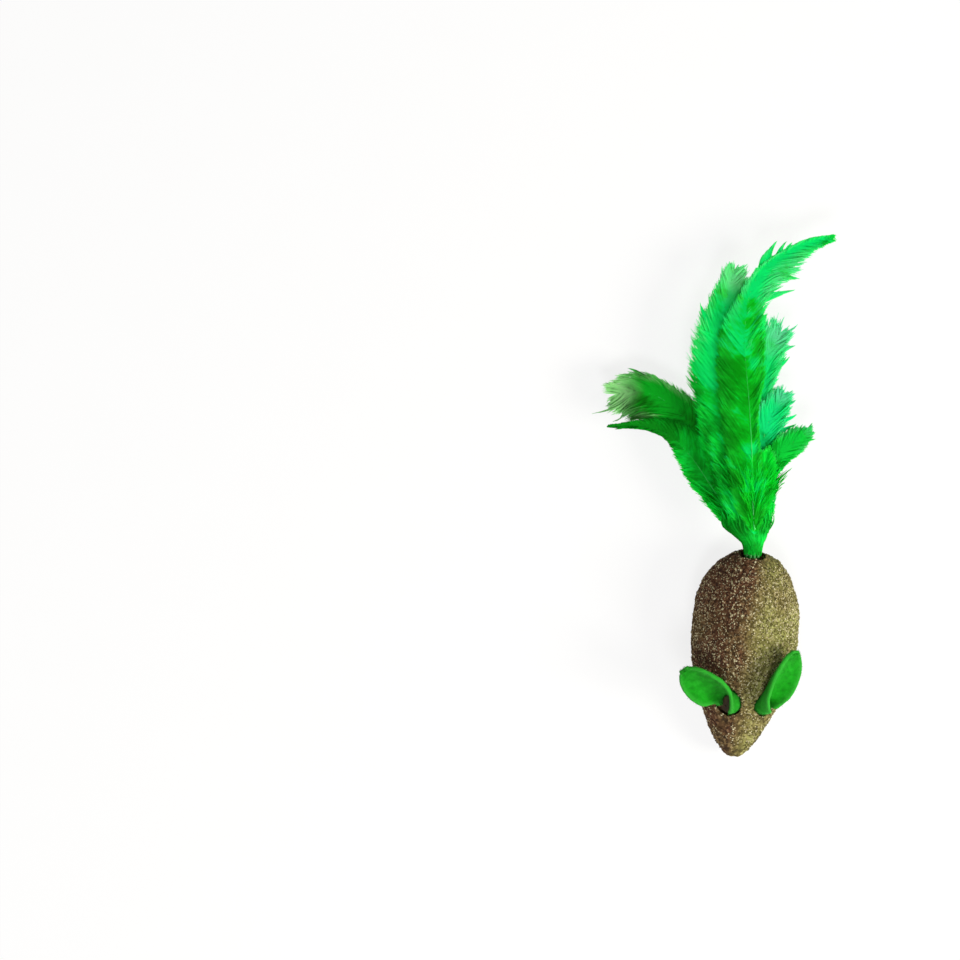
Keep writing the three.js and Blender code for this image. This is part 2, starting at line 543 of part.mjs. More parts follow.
function featherGeometry(feather, layer) {
  const place = quillPlaces[layer];
  const rows = shaftStations(feather, place).map(({ at, along, share, ragged }) => {
    const right = new THREE.Vector2(along.y, -along.x);
    const opened = THREE.MathUtils.clamp((at.length() - FAN_START) / VANE_OPENING, 0, 1);
    const vane = alongTable(VANE_OPEN_SHARES, opened) * ragged;
    const slimmed = THREE.MathUtils.smoothstep(at.length(), NECK_RADIUS, FAN_START);
    const quill = QUILL_RADIUS + (QUILL_TIP_RADIUS - QUILL_RADIUS) * slimmed;
    const leftEdge = Math.max(vane * feather.leftWidth * alongTable(feather.leftShares, share), quill);
    const rightEdge = Math.max(vane * feather.rightWidth * alongTable(feather.rightShares, share), quill);
    const spots = [
      [-leftEdge, VANE_EDGE_HALF_THICKNESS],
      [-(leftEdge + quill) / 2, VANE_HALF_THICKNESS],
      [-quill, VANE_HALF_THICKNESS],
      [0, quill],
      [quill, VANE_HALF_THICKNESS],
      [(rightEdge + quill) / 2, VANE_HALF_THICKNESS],
      [rightEdge, VANE_EDGE_HALF_THICKNESS],
    ];
    const pointAt = (offset, thickness) => {
      const spot = at.clone().addScaledVector(right, offset);
      spot.addScaledVector(along, Math.max(Math.abs(offset) - quill, 0) * BARB_SWEEP_SHARE);
      const fanned = THREE.MathUtils.smoothstep(spot.length(), NECK_RADIUS + GAP, FAN_START);
      const middle = place.z * (1 - fanned) + layerHeight(layer, spot.length()) * fanned;
      return new THREE.Vector3(spot.x, spot.y, middle + thickness).add(tailPoint);
    };
    return {
      over: spots.map(([offset, thickness]) => pointAt(offset, thickness)),
      under: spots.map(([offset, thickness]) => pointAt(offset, -thickness)),
    };
  });
  return sheetGeometry(rows);
}

// Assembly

const toy = new THREE.Group();
toy.name = 'catnip_mouse';

function addPiece(parent, name, geometry, pieceMaterial) {
  const mesh = new THREE.Mesh(geometry, pieceMaterial);
  mesh.name = name;
  parent.add(mesh);
}

const earLayouts = EARS.map(earLayout);
addPiece(toy, 'catnip_body', geometryOf(bodySolid()), herbMaterial);

for (const ear of earLayouts) {
  const earGroup = new THREE.Group();
  addPiece(earGroup, ear.name, geometryOf(earFlapSolid(ear)), feltMaterial);
  addPiece(earGroup, `${ear.name}_root`, geometryOf(earRootSolid(ear)), feltMaterial);
  addPiece(earGroup, `${ear.name}_glue`, geometryOf(earGlueSolid(ear)), glueMaterial);
  toy.add(earGroup);
  const shown = (vector) => vector.toArray().map((value) => value.toFixed(4)).join(', ');
  console.log(`${ear.name}: hinge at ${shown(ear.hinge)} mm, axis ${shown(ear.across)}`);
}

const tail = new THREE.Group();
addPiece(tail, 'quill_ends', geometryOf(quillEndsSolid()), quillMaterial);
addPiece(tail, 'tail_thread', threadGeometry(), threadMaterial);
addPiece(tail, 'tail_glue', geometryOf(tailGlueSolid()), glueMaterial);
addPiece(tail, 'quill_neck', geometryOf(neckSolid()), quillMaterial);
FEATHERS.forEach((feather, layer) => {
  addPiece(tail, feather.name, featherGeometry(feather, layer), featherMaterial);
});
toy.add(tail);

export default toy;
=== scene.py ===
import math

import bpy
import numpy as np
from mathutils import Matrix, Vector, noise


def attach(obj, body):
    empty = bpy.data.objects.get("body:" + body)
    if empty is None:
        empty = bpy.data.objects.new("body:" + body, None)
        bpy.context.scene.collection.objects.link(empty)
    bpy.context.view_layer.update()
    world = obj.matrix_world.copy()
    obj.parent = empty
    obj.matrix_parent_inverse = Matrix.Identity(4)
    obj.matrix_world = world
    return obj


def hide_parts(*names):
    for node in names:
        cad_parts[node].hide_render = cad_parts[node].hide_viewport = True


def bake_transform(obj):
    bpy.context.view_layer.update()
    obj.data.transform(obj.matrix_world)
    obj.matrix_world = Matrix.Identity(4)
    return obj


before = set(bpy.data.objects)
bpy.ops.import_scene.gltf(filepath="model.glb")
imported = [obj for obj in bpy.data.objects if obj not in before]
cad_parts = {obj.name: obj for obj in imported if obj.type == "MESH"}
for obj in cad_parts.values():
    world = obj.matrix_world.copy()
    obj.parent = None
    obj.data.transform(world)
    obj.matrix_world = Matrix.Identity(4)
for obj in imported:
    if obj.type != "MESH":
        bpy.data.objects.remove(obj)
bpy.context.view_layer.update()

# Catnip mouse: pressed herb body, two felt ears and a tail of dyed feathers. Sizes here are in millimetres.
mm = 0.001
across = np.array((1.0, 0.0, 0.0))
back = np.array((0.0, 1.0, 0.0))
up = np.array((0.0, 0.0, 1.0))


# Small tools

def newObject(name, data):
    thing = bpy.data.objects.new(name, data)
    bpy.context.scene.collection.objects.link(thing)
    return thing


def linear(hexColour):
    parts = [int(hexColour[i:i + 2], 16) / 255 for i in (1, 3, 5)]
    return (*[c / 12.92 if c <= 0.04045 else ((c + 0.055) / 1.055) ** 2.4 for c in parts], 1)


# Adds a node: settings go to its inputs by name or number, stops to its ramp, and the rest to the node
# itself. A link comes from a socket, or from the first output of a node
def addNode(tree, kind, settings=None, links=None):
    node = tree.nodes.new("ShaderNode" + kind)
    for name, value in (settings or {}).items():
        if name == "stops":
            ramp = node.color_ramp
            while len(ramp.elements) < len(value):
                ramp.elements.new(0.5)
            for element, (place, hexColour) in zip(ramp.elements, value):
                element.position = place
                element.color = linear(hexColour)
        elif isinstance(name, int) or name in node.inputs:
            node.inputs[name].default_value = value
        else:
            setattr(node, name, value)
    for name, source in (links or {}).items():
        socket = source if isinstance(source, bpy.types.NodeSocket) else source.outputs[0]
        tree.links.new(socket, node.inputs[name])
    return node


# A Math node, whose inputs are numbers or links
def mathNode(tree, operation, *values, clamp=False):
    numbers = {k: value for k, value in enumerate(values) if isinstance(value, (int, float))}
    links = {k: value for k, value in enumerate(values) if k not in numbers}
    return addNode(tree, "Math", {"operation": operation, "use_clamp": clamp, **numbers}, links)


# Maps one range of a source onto another
def rangeNode(tree, source, low, high, fromLow=0, fromHigh=1, eased=False):
    return addNode(tree, "MapRange", {
        "From Min": fromLow, "From Max": fromHigh, "To Min": low, "To Max": high,
        "interpolation_type": "SMOOTHSTEP" if eased else "LINEAR",
    }, {"Value": source})


# Texture scale for a pattern whose size is in millimetres
def perMetre(size):
    return 1 / (size * mm)


def noiseNode(tree, size, detail, **more):
    place = addNode(tree, "TexCoord").outputs["Object"]
    return addNode(tree, "TexNoise", {"Scale": perMetre(size), "Detail": detail, **more}, {"Vector": place})


def rampNode(tree, source, stops):
    return addNode(tree, "ValToRGB", {"stops": stops}, {0: source})


def valueMix(tree, share, first, second):
    return addNode(tree, "Mix", {"data_type": "FLOAT", 0: share}, {2: first, 3: second})


# Each of the two colours is a link or a hex colour
def colourMix(tree, share, *colours):
    fixed = {6 + k: linear(colour) for k, colour in enumerate(colours) if isinstance(colour, str)}
    links = {6 + k: colour for k, colour in enumerate(colours) if 6 + k not in fixed}
    return addNode(tree, "Mix", {"data_type": "RGBA", **fixed}, {0: share, **links}).outputs[2]


def principled(tree, settings, colour, roughness, bump=None):
    links = {"Base Color": colour, "Roughness": roughness}
    if bump:
        links["Normal"] = bump
    return addNode(tree, "BsdfPrincipled", settings, links)


def newMaterial(name):
    material = bpy.data.materials.new(name)
    material.use_nodes = True
    material.node_tree.nodes.clear()
    return material, material.node_tree


def surfaced(material, shader):
    addNode(material.node_tree, "OutputMaterial", {}, {"Surface": shader})
    return material


# One even stuff whose grain sets its gloss, and its tone too unless each piece of it has its own
def plainMaterial(name, grainSize, detail, stops, gloss, settings, perPiece=False):
    material, tree = newMaterial(name)
    grain = noiseNode(tree, grainSize, detail)
    draw = addNode(tree, "NewGeometry").outputs["Random Per Island"] if perPiece else grain
    shader = principled(tree, settings, rampNode(tree, draw, stops), rangeNode(tree, grain, *gloss))
    return surfaced(material, shader)


# Makes an object; values are numbers that its material reads at each point
def meshPiece(name, points, faces, materials, slots=None, uv=None, smooth=True, values=None):
    mesh = bpy.data.meshes.new(name)
    mesh.from_pydata((np.asarray(points) * mm).tolist(), [], faces)
    for material in materials:
        mesh.materials.append(material)
    if slots is not None:
        mesh.polygons.foreach_set("material_index", np.asarray(slots, np.int32))
    mesh.polygons.foreach_set("use_smooth", np.broadcast_to(smooth, len(mesh.polygons)))
    if uv is not None:
        corners = np.empty(len(mesh.loops), np.int32)
        mesh.loops.foreach_get("vertex_index", corners)
        layer = mesh.uv_layers.new(name="OFBake")
        layer.data.foreach_set("uv", np.asarray(uv)[corners].astype(np.float32).ravel())
    for label, numbers in (values or {}).items():
        attribute = mesh.attributes.new(label, "FLOAT", "POINT")
        attribute.data.foreach_set("value", np.asarray(numbers, np.float32))
    mesh.update()
    return newObject(name, mesh)


def unit(vectors):
    return vectors / np.maximum(np.linalg.norm(vectors, axis=-1, keepdims=True), 1e-9)


def smoothstep(value, low, high):
    t = np.clip((value - low) / (high - low), 0, 1)
    return t * t * (3 - 2 * t)


# Smooth values through a table of (share, value) points
def alongTable(table, shares):
    xs, ys = np.array(table, float).T
    slopes = np.empty(len(xs))
    slopes[1:-1] = (ys[2:] - ys[:-2]) / (xs[2:] - xs[:-2])
    slopes[0] = (ys[1] - ys[0]) / (xs[1] - xs[0])
    slopes[-1] = (ys[-1] - ys[-2]) / (xs[-1] - xs[-2])
    i = np.clip(np.searchsorted(xs, shares, side="right") - 1, 0, len(xs) - 2)
    span, rise = xs[i + 1] - xs[i], ys[i + 1] - ys[i]
    t = np.clip((shares - xs[i]) / span, 0, 1)
    squared = 3 * rise - (2 * slopes[i] + slopes[i + 1]) * span
    cubed = (slopes[i] + slopes[i + 1]) * span - 2 * rise
    return ys[i] + slopes[i] * span * t + squared * t ** 2 + cubed * t ** 3


# Even steps along a smooth curve through the points
def evenPath(points, count):
    points = np.array(points, float)
    knots = np.vstack([2 * points[0] - points[1], points, 2 * points[-1] - points[-2]])
    stepsPerSpan = 60
    fine = []
    for i in range(1, len(knots) - 2):
        p = knots[i - 1:i + 3]
        t = np.concatenate([[0], np.cumsum(np.sqrt(np.linalg.norm(np.diff(p, axis=0), axis=1)))])
        u = np.linspace(t[1], t[2], stepsPerSpan, endpoint=False)[:, None]
        blend = lambda a, b, lo, hi: a * (t[hi] - u) / (t[hi] - t[lo]) + b * (u - t[lo]) / (t[hi] - t[lo])
        first = [blend(p[k], p[k + 1], k, k + 1) for k in range(3)]
        second = [blend(first[k], first[k + 1], k, k + 2) for k in range(2)]
        fine.append(blend(second[0], second[1], 1, 2))
    fine = np.vstack([*fine, points[-1:]])
    run = np.concatenate([[0], np.cumsum(np.linalg.norm(np.diff(fine, axis=0), axis=1))])
    steps = np.linspace(0, run[-1], count)
    even = np.stack([np.interp(steps, run, fine[:, k]) for k in range(fine.shape[1])], axis=1)
    return even, unit(np.gradient(even, axis=0)), run[-1]


# Many tapered three-sided strands at once: paths (strand, step, 3), widths (strand, step), flats face the ups
def strandMesh(paths, widths, ups, thickness=0.35):
    count, steps = paths.shape[:2]
    widths, ups = np.broadcast_to(widths, (count, steps)), np.broadcast_to(ups, paths.shape)
    along = unit(np.gradient(paths, axis=1))
    side = unit(np.cross(along, ups))
    facing = np.cross(side, along)
    half = side * widths[..., None] / 2
    corners = np.stack([paths + half, paths - half, paths - facing * widths[..., None] * thickness], axis=2)
    index = np.arange(count * steps * 3).reshape(count, steps, 3)
    rolled = np.roll(index, -1, axis=2)
    quads = np.stack([rolled[:, :-1], index[:, :-1], index[:, 1:], rolled[:, 1:]], axis=-1).reshape(-1, 4)
    caps = np.concatenate([index[:, 0], index[:, -1, ::-1]])
    return corners.reshape(-1, 3), quads.tolist() + caps.tolist()


# Quads between rings of points, and the numbers of the points, a row for each ring
def ringFaces(rings, size):
    index = np.arange(rings * size).reshape(rings, size)
    rolled = np.roll(index, -1, axis=1)
    quads = np.stack([index[:-1], rolled[:-1], rolled[1:], index[1:]], axis=-1)
    return quads.reshape(-1, 4).tolist(), index


# A tube round a path, closed at both ends
def tubeMesh(path, radii, sides):
    along = unit(np.gradient(path, axis=0))
    first = unit(np.cross(along, up + 0.01 * across))
    second = np.cross(first, along)
    angles = np.linspace(0, 2 * np.pi, sides, endpoint=False)
    ring = np.cos(angles)[None, :, None] * first[:, None] + np.sin(angles)[None, :, None] * second[:, None]
    points = path[:, None] + ring * np.asarray(radii)[:, None, None]
    quads, index = ringFaces(len(path), sides)
    return points.reshape(-1, 3), quads + [index[0, ::-1].tolist(), index[-1].tolist()]


# One mesh from many: points, faces, material slot, place on the map, and the tone of all or of each strand
def joined(parts):
    points, faces, slots, maps, tones, start = [], [], [], [], [], 0
    for partPoints, partFaces, slot, place, tone in parts:
        points.append(partPoints)
        faces += [[corner + start for corner in face] for face in partFaces]
        slots += [slot] * len(partFaces)
        maps.append(place)
        tones.append(np.repeat(tone, len(partPoints) // np.size(tone)))
        start += len(partPoints)
    return np.vstack(points), faces, slots, np.vstack(maps), np.concatenate(tones)


# One mesh from tubes that need no map
def bundled(tubes):
    return joined([(points, faces, 0, np.zeros((len(points), 2)), 0) for points, faces in tubes])[:2]


# Camera, straight above as in the photo

photoView = {
    "middle": (-62.5, 35.7),  # the point under the middle of the picture
    "height": 10,  # the level at which the scale is true
    "wide": 220.2,  # what the picture spans there
    "turn": 3.93,  # degrees that the toy lies askew in the picture
    "distance": 2000,
    "sensor": 36,
}
cameraData = bpy.data.cameras.new("camera")
cameraData.sensor_width = photoView["sensor"]
cameraData.lens = photoView["sensor"] * photoView["distance"] / photoView["wide"]
camera = newObject("camera", cameraData)
camera.location = Vector((*photoView["middle"], photoView["height"] + photoView["distance"])) * mm
camera.rotation_euler = (0, 0, math.radians(photoView["turn"]))
bpy.context.scene.camera = camera
print("camera ready")


# Floor and light

studio = {
    "floor": ("#fafaf8", "#ffffff"), "floorHalf": 2500, "fibreSize": 3,
    "floorLift": 0.82,  # how much plain white the camera sees in the floor, so that its shadows stay pale
    "sky": "#fff8f4", "skyStrength": 0.27,
    "aim": (-8, 36, 8),
    "lamps": {
        "keyLamp": {"place": (600, -120, 470), "wide": 300, "power": 5.6, "hexColour": "#fffdf2"},
        "topLamp": {"place": (60, -330, 780), "wide": 220, "power": 3.2, "hexColour": "#fbfbff"},
    },
}


def softLamp(name, place, wide, power, hexColour):
    data = bpy.data.lights.new(name, "AREA")
    data.size = wide * mm
    data.energy = power
    data.color = linear(hexColour)[:3]
    lamp = newObject(name, data)
    lamp.location = Vector(place) * mm
    aim = Vector(studio["aim"]) * mm - lamp.location
    lamp.rotation_euler = aim.to_track_quat("-Z", "Y").to_euler()


# Matt white paper, which gives the eye a clean ground with a pale shadow
def paperMaterial():
    material, tree = newMaterial("whitePaper")
    fibre = addNode(tree, "TexNoise", {"Scale": perMetre(studio["fibreSize"]), "Detail": 4})
    lit = addNode(tree, "BsdfDiffuse", {}, {"Color": colourMix(tree, fibre, *studio["floor"])})
    white = addNode(tree, "Emission", {"Strength": 1.0})
    rays = addNode(tree, "LightPath").outputs
    seen = mathNode(tree, "MAXIMUM", rays["Is Camera Ray"], rays["Is Glossy Ray"])
    seen = mathNode(tree, "MAXIMUM", seen, rays["Is Transmission Ray"])
    share = mathNode(tree, "MULTIPLY", seen, studio["floorLift"])
    return surfaced(material, addNode(tree, "MixShader", {}, {0: share, 1: lit, 2: white}))


def makeStudio():
    half = studio["floorHalf"]
    corners = [(-half, -half, 0), (half, -half, 0), (half, half, 0), (-half, half, 0)]
    floor = meshPiece("floor", corners, [(0, 1, 2, 3)], [paperMaterial()])
    world = bpy.data.worlds.new("studio")
    world.use_nodes = True
    bpy.context.scene.world = world
    tree = world.node_tree
    tree.nodes.clear()
    rays = addNode(tree, "LightPath").outputs
    fill = addNode(tree, "Background", {"Color": linear(studio["sky"]), "Strength": studio["skyStrength"]})
    white = addNode(tree, "Background", {"Color": linear("#ffffff"), "Strength": 1.0})
    mixed = addNode(tree, "MixShader", {}, {0: rays["Is Camera Ray"], 1: fill, 2: white})
    addNode(tree, "OutputWorld", {}, {"Surface": mixed})
    for name, lamp in studio["lamps"].items():
        softLamp(name, **lamp)


makeStudio()
bpy.context.scene.view_settings.view_transform = "Standard"
print("studio ready")


# Pressed body

body = {
    "length": 48.2, "width": 24.8, "height": 20.5, "backPower": 1.72, "bellyPower": 2.3,
    "voxel": 0.26, "smoothing": 7,
    # how far each grain stands out, and its size
    "grains": [(0.2, 6.5), (0.2, 1.9), (0.12, 0.5)], "crumbs": (0.34, 0.95),
    "sunk": 0.22,  # how far the skin lies under the moulded size, so that the crumbs bring it back
    # turn, width, top, level, under, stray
    "sections": [
        (0, 0, 0.25, 0.25, 0.25, 0), (0.07, 0.16, 0.34, 0.26, 0.15, 0), (0.13, 0.26, 0.41, 0.28, 0.08, 0),
        (0.2, 0.41, 0.5, 0.3, 0, 0), (0.28, 0.59, 0.62, 0.32, -0.05, 0.009),
        (0.37, 0.79, 0.78, 0.34, -0.07, 0.017), (0.46, 0.945, 0.92, 0.36, -0.08, 0.024),
        (0.55, 1, 0.99, 0.37, -0.08, 0.026), (0.645, 0.98, 1, 0.38, -0.08, 0.025),
        (0.74, 0.85, 0.94, 0.4, -0.06, 0.025), (0.82, 0.655, 0.84, 0.42, 0, 0.03),
        (0.89, 0.44, 0.71, 0.44, 0.13, 0.033), (1, 0, 0.46, 0.46, 0.46, 0.036),
    ],
}


# How far out points lie in their section of the body, 1 at the skin, and the middle of that section
def bodyDepth(points):
    turn = np.arccos(np.clip(-2 * points[:, 1] / body["length"], -1, 1)) / np.pi
    rows = body["sections"]
    width, top, level, under, stray = (
        alongTable([(row[0], row[k]) for row in rows], turn) for k in range(1, 6))
    middle = np.stack([stray * body["width"], points[:, 1], level * body["height"]], axis=1)
    least = 0.05
    half = np.maximum(width * body["width"] / 2, least)
    above = points[:, 2] > middle[:, 2]
    reach = np.maximum(np.where(above, top - level, level - under) * body["height"], least)
    power = np.where(above, body["backPower"], body["bellyPower"])
    x = np.abs(points[:, 0] - middle[:, 0]) / half
    z = np.abs(points[:, 2] - middle[:, 2]) / reach
    return (x ** power + z ** power) ** (1 / power), middle


# Ground catnip pressed with a starch binder: matt, crumbly, from olive leaf to brown stem meal
herb = {
    "leaf": [(0.1, "#423d1c"), (0.4, "#6e6b37"), (0.68, "#949353"), (0.92, "#b2b474")],
    "meal": [(0.1, "#2a180e"), (0.4, "#4a2e1d"), (0.7, "#6b4930"), (0.95, "#9c7c5c")],
    "speck": [(0, "#9c8c62"), (1, "#ddd5ae")],
    "crumbSize": 0.6, "patchSize": 11, "gritSize": 0.16, "gritShare": 0.3,
    "slant": -0.07, "shadedFlank": (4.4, -0.4),  # where the painted shade of brown meal on the left flank begins, and how soft it is
    "shadedFlankMeal": (0, 0.85), "patchMeal": (-0.05, 0.45), "patchSpan": (0.38, 0.68),
}


def herbMaterial(name, perPiece):
    material, tree = newMaterial(name)
    place = addNode(tree, "TexCoord").outputs["Object"]
    if perPiece:
        draw = addNode(tree, "NewGeometry").outputs["Random Per Island"]
    else:
        crumbs = addNode(tree, "TexVoronoi", {"Scale": perMetre(herb["crumbSize"])}, {"Vector": place})
        draw = addNode(tree, "SeparateColor", {}, {"Color": crumbs.outputs["Color"]})
    grit = noiseNode(tree, herb["gritSize"], 3)
    grain = valueMix(tree, herb["gritShare"], draw, grit)
    leaf, meal = (rampNode(tree, grain, herb[kind]) for kind in ("leaf", "meal"))
    # brown meal painted on the left flank as shade of the side turned from the key lamp, and stem meal in
    # patches
    parts = addNode(tree, "SeparateXYZ", {}, {"Vector": place}).outputs
    askew = mathNode(tree, "MULTIPLY_ADD", parts["Y"], herb["slant"], parts["X"])
    shadedFlank = rangeNode(tree, askew, *herb["shadedFlankMeal"], *[edge * mm for edge in herb["shadedFlank"]])
    patches = noiseNode(tree, herb["patchSize"], 2)
    patches = rangeNode(tree, patches, *herb["patchMeal"], *herb["patchSpan"])
    tone = colourMix(tree, mathNode(tree, "ADD", shadedFlank, patches, clamp=True), leaf, meal)
    bump = addNode(tree, "Bump", {"Strength": 0.6, "Distance": 0.12 * mm}, {"Height": grit})
    settings = {"IOR": 1.45, "Specular IOR Level": 0.3}
    shader = principled(tree, settings, tone, rangeNode(tree, grit, 0.78, 0.98), bump)
    return surfaced(material, shader)


def pressedBody():
    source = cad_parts["catnip_body"].data.copy()
    source.materials.clear()
    piece = newObject("pressed_body", source)
    remesh = piece.modifiers.new("voxels", "REMESH")
    remesh.mode = "VOXEL"
    remesh.voxel_size = body["voxel"] * mm
    smooth = piece.modifiers.new("smooth", "SMOOTH")
    smooth.iterations = body["smoothing"]
    smooth.factor = 0.5
    graph = bpy.context.evaluated_depsgraph_get()
    mesh = bpy.data.meshes.new_from_object(piece.evaluated_get(graph))
    piece.modifiers.clear()
    piece.data = mesh
    count = len(mesh.vertices)
    points, normals = np.empty(count * 3, np.float32), np.empty(count * 3, np.float32)
    mesh.vertices.foreach_get("co", points)
    mesh.vertices.foreach_get("normal", normals)
    points = points.reshape(-1, 3) / mm
    normals = normals.reshape(-1, 3)
    crumbLift, crumbSize = body["crumbs"]
    lifts = np.empty(count)
    for i, point in enumerate(points.tolist()):
        place = Vector(point)
        fromCrumb = noise.voronoi(place / crumbSize)[0][0]
        grains = sum(lift * noise.noise(place / size) for lift, size in body["grains"])
        lifts[i] = grains + crumbLift * (0.5 - fromCrumb) - body["sunk"]
    points = points + normals * lifts[:, None]
    points[:, 2] = np.maximum(points[:, 2], 0)
    mesh.vertices.foreach_set("co", (points * mm).astype(np.float32).ravel())
    mesh.polygons.foreach_set("use_smooth", np.full(len(mesh.polygons), True))
    mesh.materials.append(herbMaterial("pressedHerb", False))
    mesh.update()
    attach(piece, "body")
    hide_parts("catnip_body")
    return points, normals


# Chips of leaf and stem in the skin of the body. length: the middle one and its spread
chips = {
    "leaf_flakes": {
        "seed": 11, "count": 12500, "length": (0.5, 0.28), "slimness": (0.55, 1), "tilt": 0.85, "thick": 0.16,
    },
    "pale_specks": {
        "seed": 12, "count": 5200, "length": (0.4, 0.25), "slimness": (0.6, 1), "tilt": 0.5, "thick": 0.2,
    },
    "stem_bits": {
        "seed": 13, "count": 160, "length": (0.95, 0.3), "slimness": (0.2, 0.3), "tilt": 0.3, "thick": 0.18,
    },
}


# Each chip is a small closed lens
def herbChips(name, chip, skin, facing, material):
    rng = np.random.default_rng(chip["seed"])
    count, thick, sides = chip["count"], chip["thick"], 6
    depth, _ = bodyDepth(skin)
    outside, overFloor = depth > 0.955, skin[:, 2] > 0.25
    chosen = rng.choice(np.flatnonzero(outside & overFloor), count, replace=False)
    centre, normal = skin[chosen], facing[chosen]
    loose = unit(rng.normal(size=(count, 3)))
    first = unit(np.cross(normal, loose))
    normal = unit(normal + loose * rng.uniform(0, chip["tilt"], (count, 1)))
    first = unit(first - normal * (first * normal).sum(1, keepdims=True))
    second = np.cross(normal, first)
    middle, spread = chip["length"]
    length = rng.lognormal(math.log(middle), spread, count)
    width = length * rng.uniform(*chip["slimness"], count)
    angles = np.linspace(0, 2 * np.pi, sides, endpoint=False)
    ragged = rng.uniform(0.7, 1.1, (count, sides))
    rim = (
        centre[:, None]
        + first[:, None] * (np.cos(angles) * ragged * length[:, None] / 2)[..., None]
        + second[:, None] * (np.sin(angles) * ragged * width[:, None] / 2)[..., None]
        + normal[:, None] * rng.uniform(-0.05, 0.08, (count, sides, 1))
    )
    centre = centre + normal * thick * 0.4
    top, bottom = centre + normal * thick / 2, centre - normal * thick
    points = np.concatenate([rim, top[:, None], bottom[:, None]], axis=1)
    points[..., 2] = np.maximum(points[..., 2], 0.02)
    start = (sides + 2) * np.arange(count)[:, None]
    here, after = start + np.arange(sides), start + (np.arange(sides) + 1) % sides
    above, below = (np.broadcast_to(start + sides + k, here.shape) for k in (0, 1))
    faces = np.stack([here, after, above, after, here, below], axis=-1).reshape(-1, 3).tolist()
    piece = meshPiece(name, points.reshape(-1, 3), faces, [material], smooth=False)
    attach(piece, "body")


skin, skinFacing = pressedBody()
print("pressed body ready:", len(skin), "points")
# Dried stem, chopped fine: pale, with a dull straw gloss
stemChips = plainMaterial("driedStemChips", 0.12, 2, herb["speck"], (0.6, 0.85), {
    "IOR": 1.5, "Specular IOR Level": 0.4}, perPiece=True)
crushedLeaf = herbMaterial("crushedLeaf", True)
for name, chip in chips.items():
    herbChips(name, chip, skin, skinFacing, crushedLeaf if name == "leaf_flakes" else stemChips)
print("flakes and stems ready")


# Felt ears

# Needled wool felt, dyed in the piece: matt with a soft fuzz, with a painted highlight along its edges
felt = {
    "tones": [(0.3, "#08720c"), (0.5, "#0d900f"), (0.72, "#20a822")], "rim": "#40b43e", "sheen": "#7fe07a",
    "mottle": 1.6, "fibre": 0.14,
}
ears = {
    "thickness": 0.95, "tipRadius": 8, "rootDepth": 2.3, "cupLength": 19, "gap": 0.3,
    "rootRows": 8, "rows": 84, "columns": 44, "rimSteps": 5,
    "clear": 0.12, "bodyReach": 8,  # how far the felt keeps off the body, and the body's half width there
    "holeEase": (0.8, 1.3),  # shares of its hole's radius between which it begins to do so
    "wave": 0.28, "waveRows": (16, 40), "waveNoise": (5, 1.7, 0.4),  # two sizes, and the share of the second
    "rimRound": 0.9, "edgeHighlightWide": 0.55, "edgeHighlightStrength": 0.4,  # bulge of the cut edge, and how far in and how strong the painted edge highlight is
    "nap": 0.06, "napNoise": (0.45, 0.2, 0.6),
    "fibres": 1600, "fibreSteps": 5, "fibreWidth": 0.055,  # drawn coarse enough to show
    "widthShares": [
        (0, 1.02), (0.14, 0.9), (0.28, 0.88), (0.42, 0.96), (0.6, 1), (0.76, 0.92), (0.88, 0.72),
        (0.96, 0.44), (1, 0.2),
    ],
    "openShares": [(0, 0), (0.18, 0.04), (0.35, 0.2), (0.6, 0.62), (1, 1)],
    "roll": 2.55,  # how far round the felt wraps at its root on each side, in radians
}
earPlaces = {
    "ear_left": {
        "body": "left_ear", "mouth": (-2.5, -11.1, 14.5209), "axis": (-0.3029, -0.038, 0.9523),
        "facing": (-0.025, -0.7816, 0.6233), "bend": (-3.7722, -11.2597, 18.5204),
        "tip": (-13.0505, -4.2484, 22.6904), "halfWidth": 5.3, "rootRadius": 2.3, "holeRadius": 3.075,
        "rootTurn": -42, "seed": 21,
    },
    "ear_right": {
        "body": "right_ear", "mouth": (6.1, -11.2, 12.7431), "axis": (0.3137, 0.0554, 0.9479),
        "facing": (0.6824, -0.5857, 0.4373), "bend": (7.4176, -10.9671, 16.7243),
        "tip": (11.9402, 1.3243, 20.4031), "halfWidth": 5.8, "rootRadius": 1.7, "holeRadius": 2.475,
        "rootTurn": 10, "seed": 22,
    },
}


def feltMaterial():
    material, tree = newMaterial("woolFelt")
    mottle = noiseNode(tree, felt["mottle"], 5, Roughness=0.65)
    fibre = noiseNode(tree, felt["fibre"], 3, Distortion=1.5)
    tone = rampNode(tree, valueMix(tree, 0.35, mottle, fibre), felt["tones"])
    # painted highlight along the edges of the felt
    edge = addNode(tree, "Attribute", {"attribute_name": "rim"}).outputs["Fac"]
    bump = addNode(tree, "Bump", {"Strength": 0.7, "Distance": 0.09 * mm}, {"Height": fibre})
    shader = principled(tree, {
        "IOR": 1.5, "Specular IOR Level": 0.15, "Sheen Weight": 0.12, "Sheen Roughness": 0.6,
        "Sheen Tint": linear(felt["sheen"]),
    }, colourMix(tree, edge, tone, felt["rim"]), rangeNode(tree, fibre, 0.82, 1), bump)
    return surfaced(material, shader)


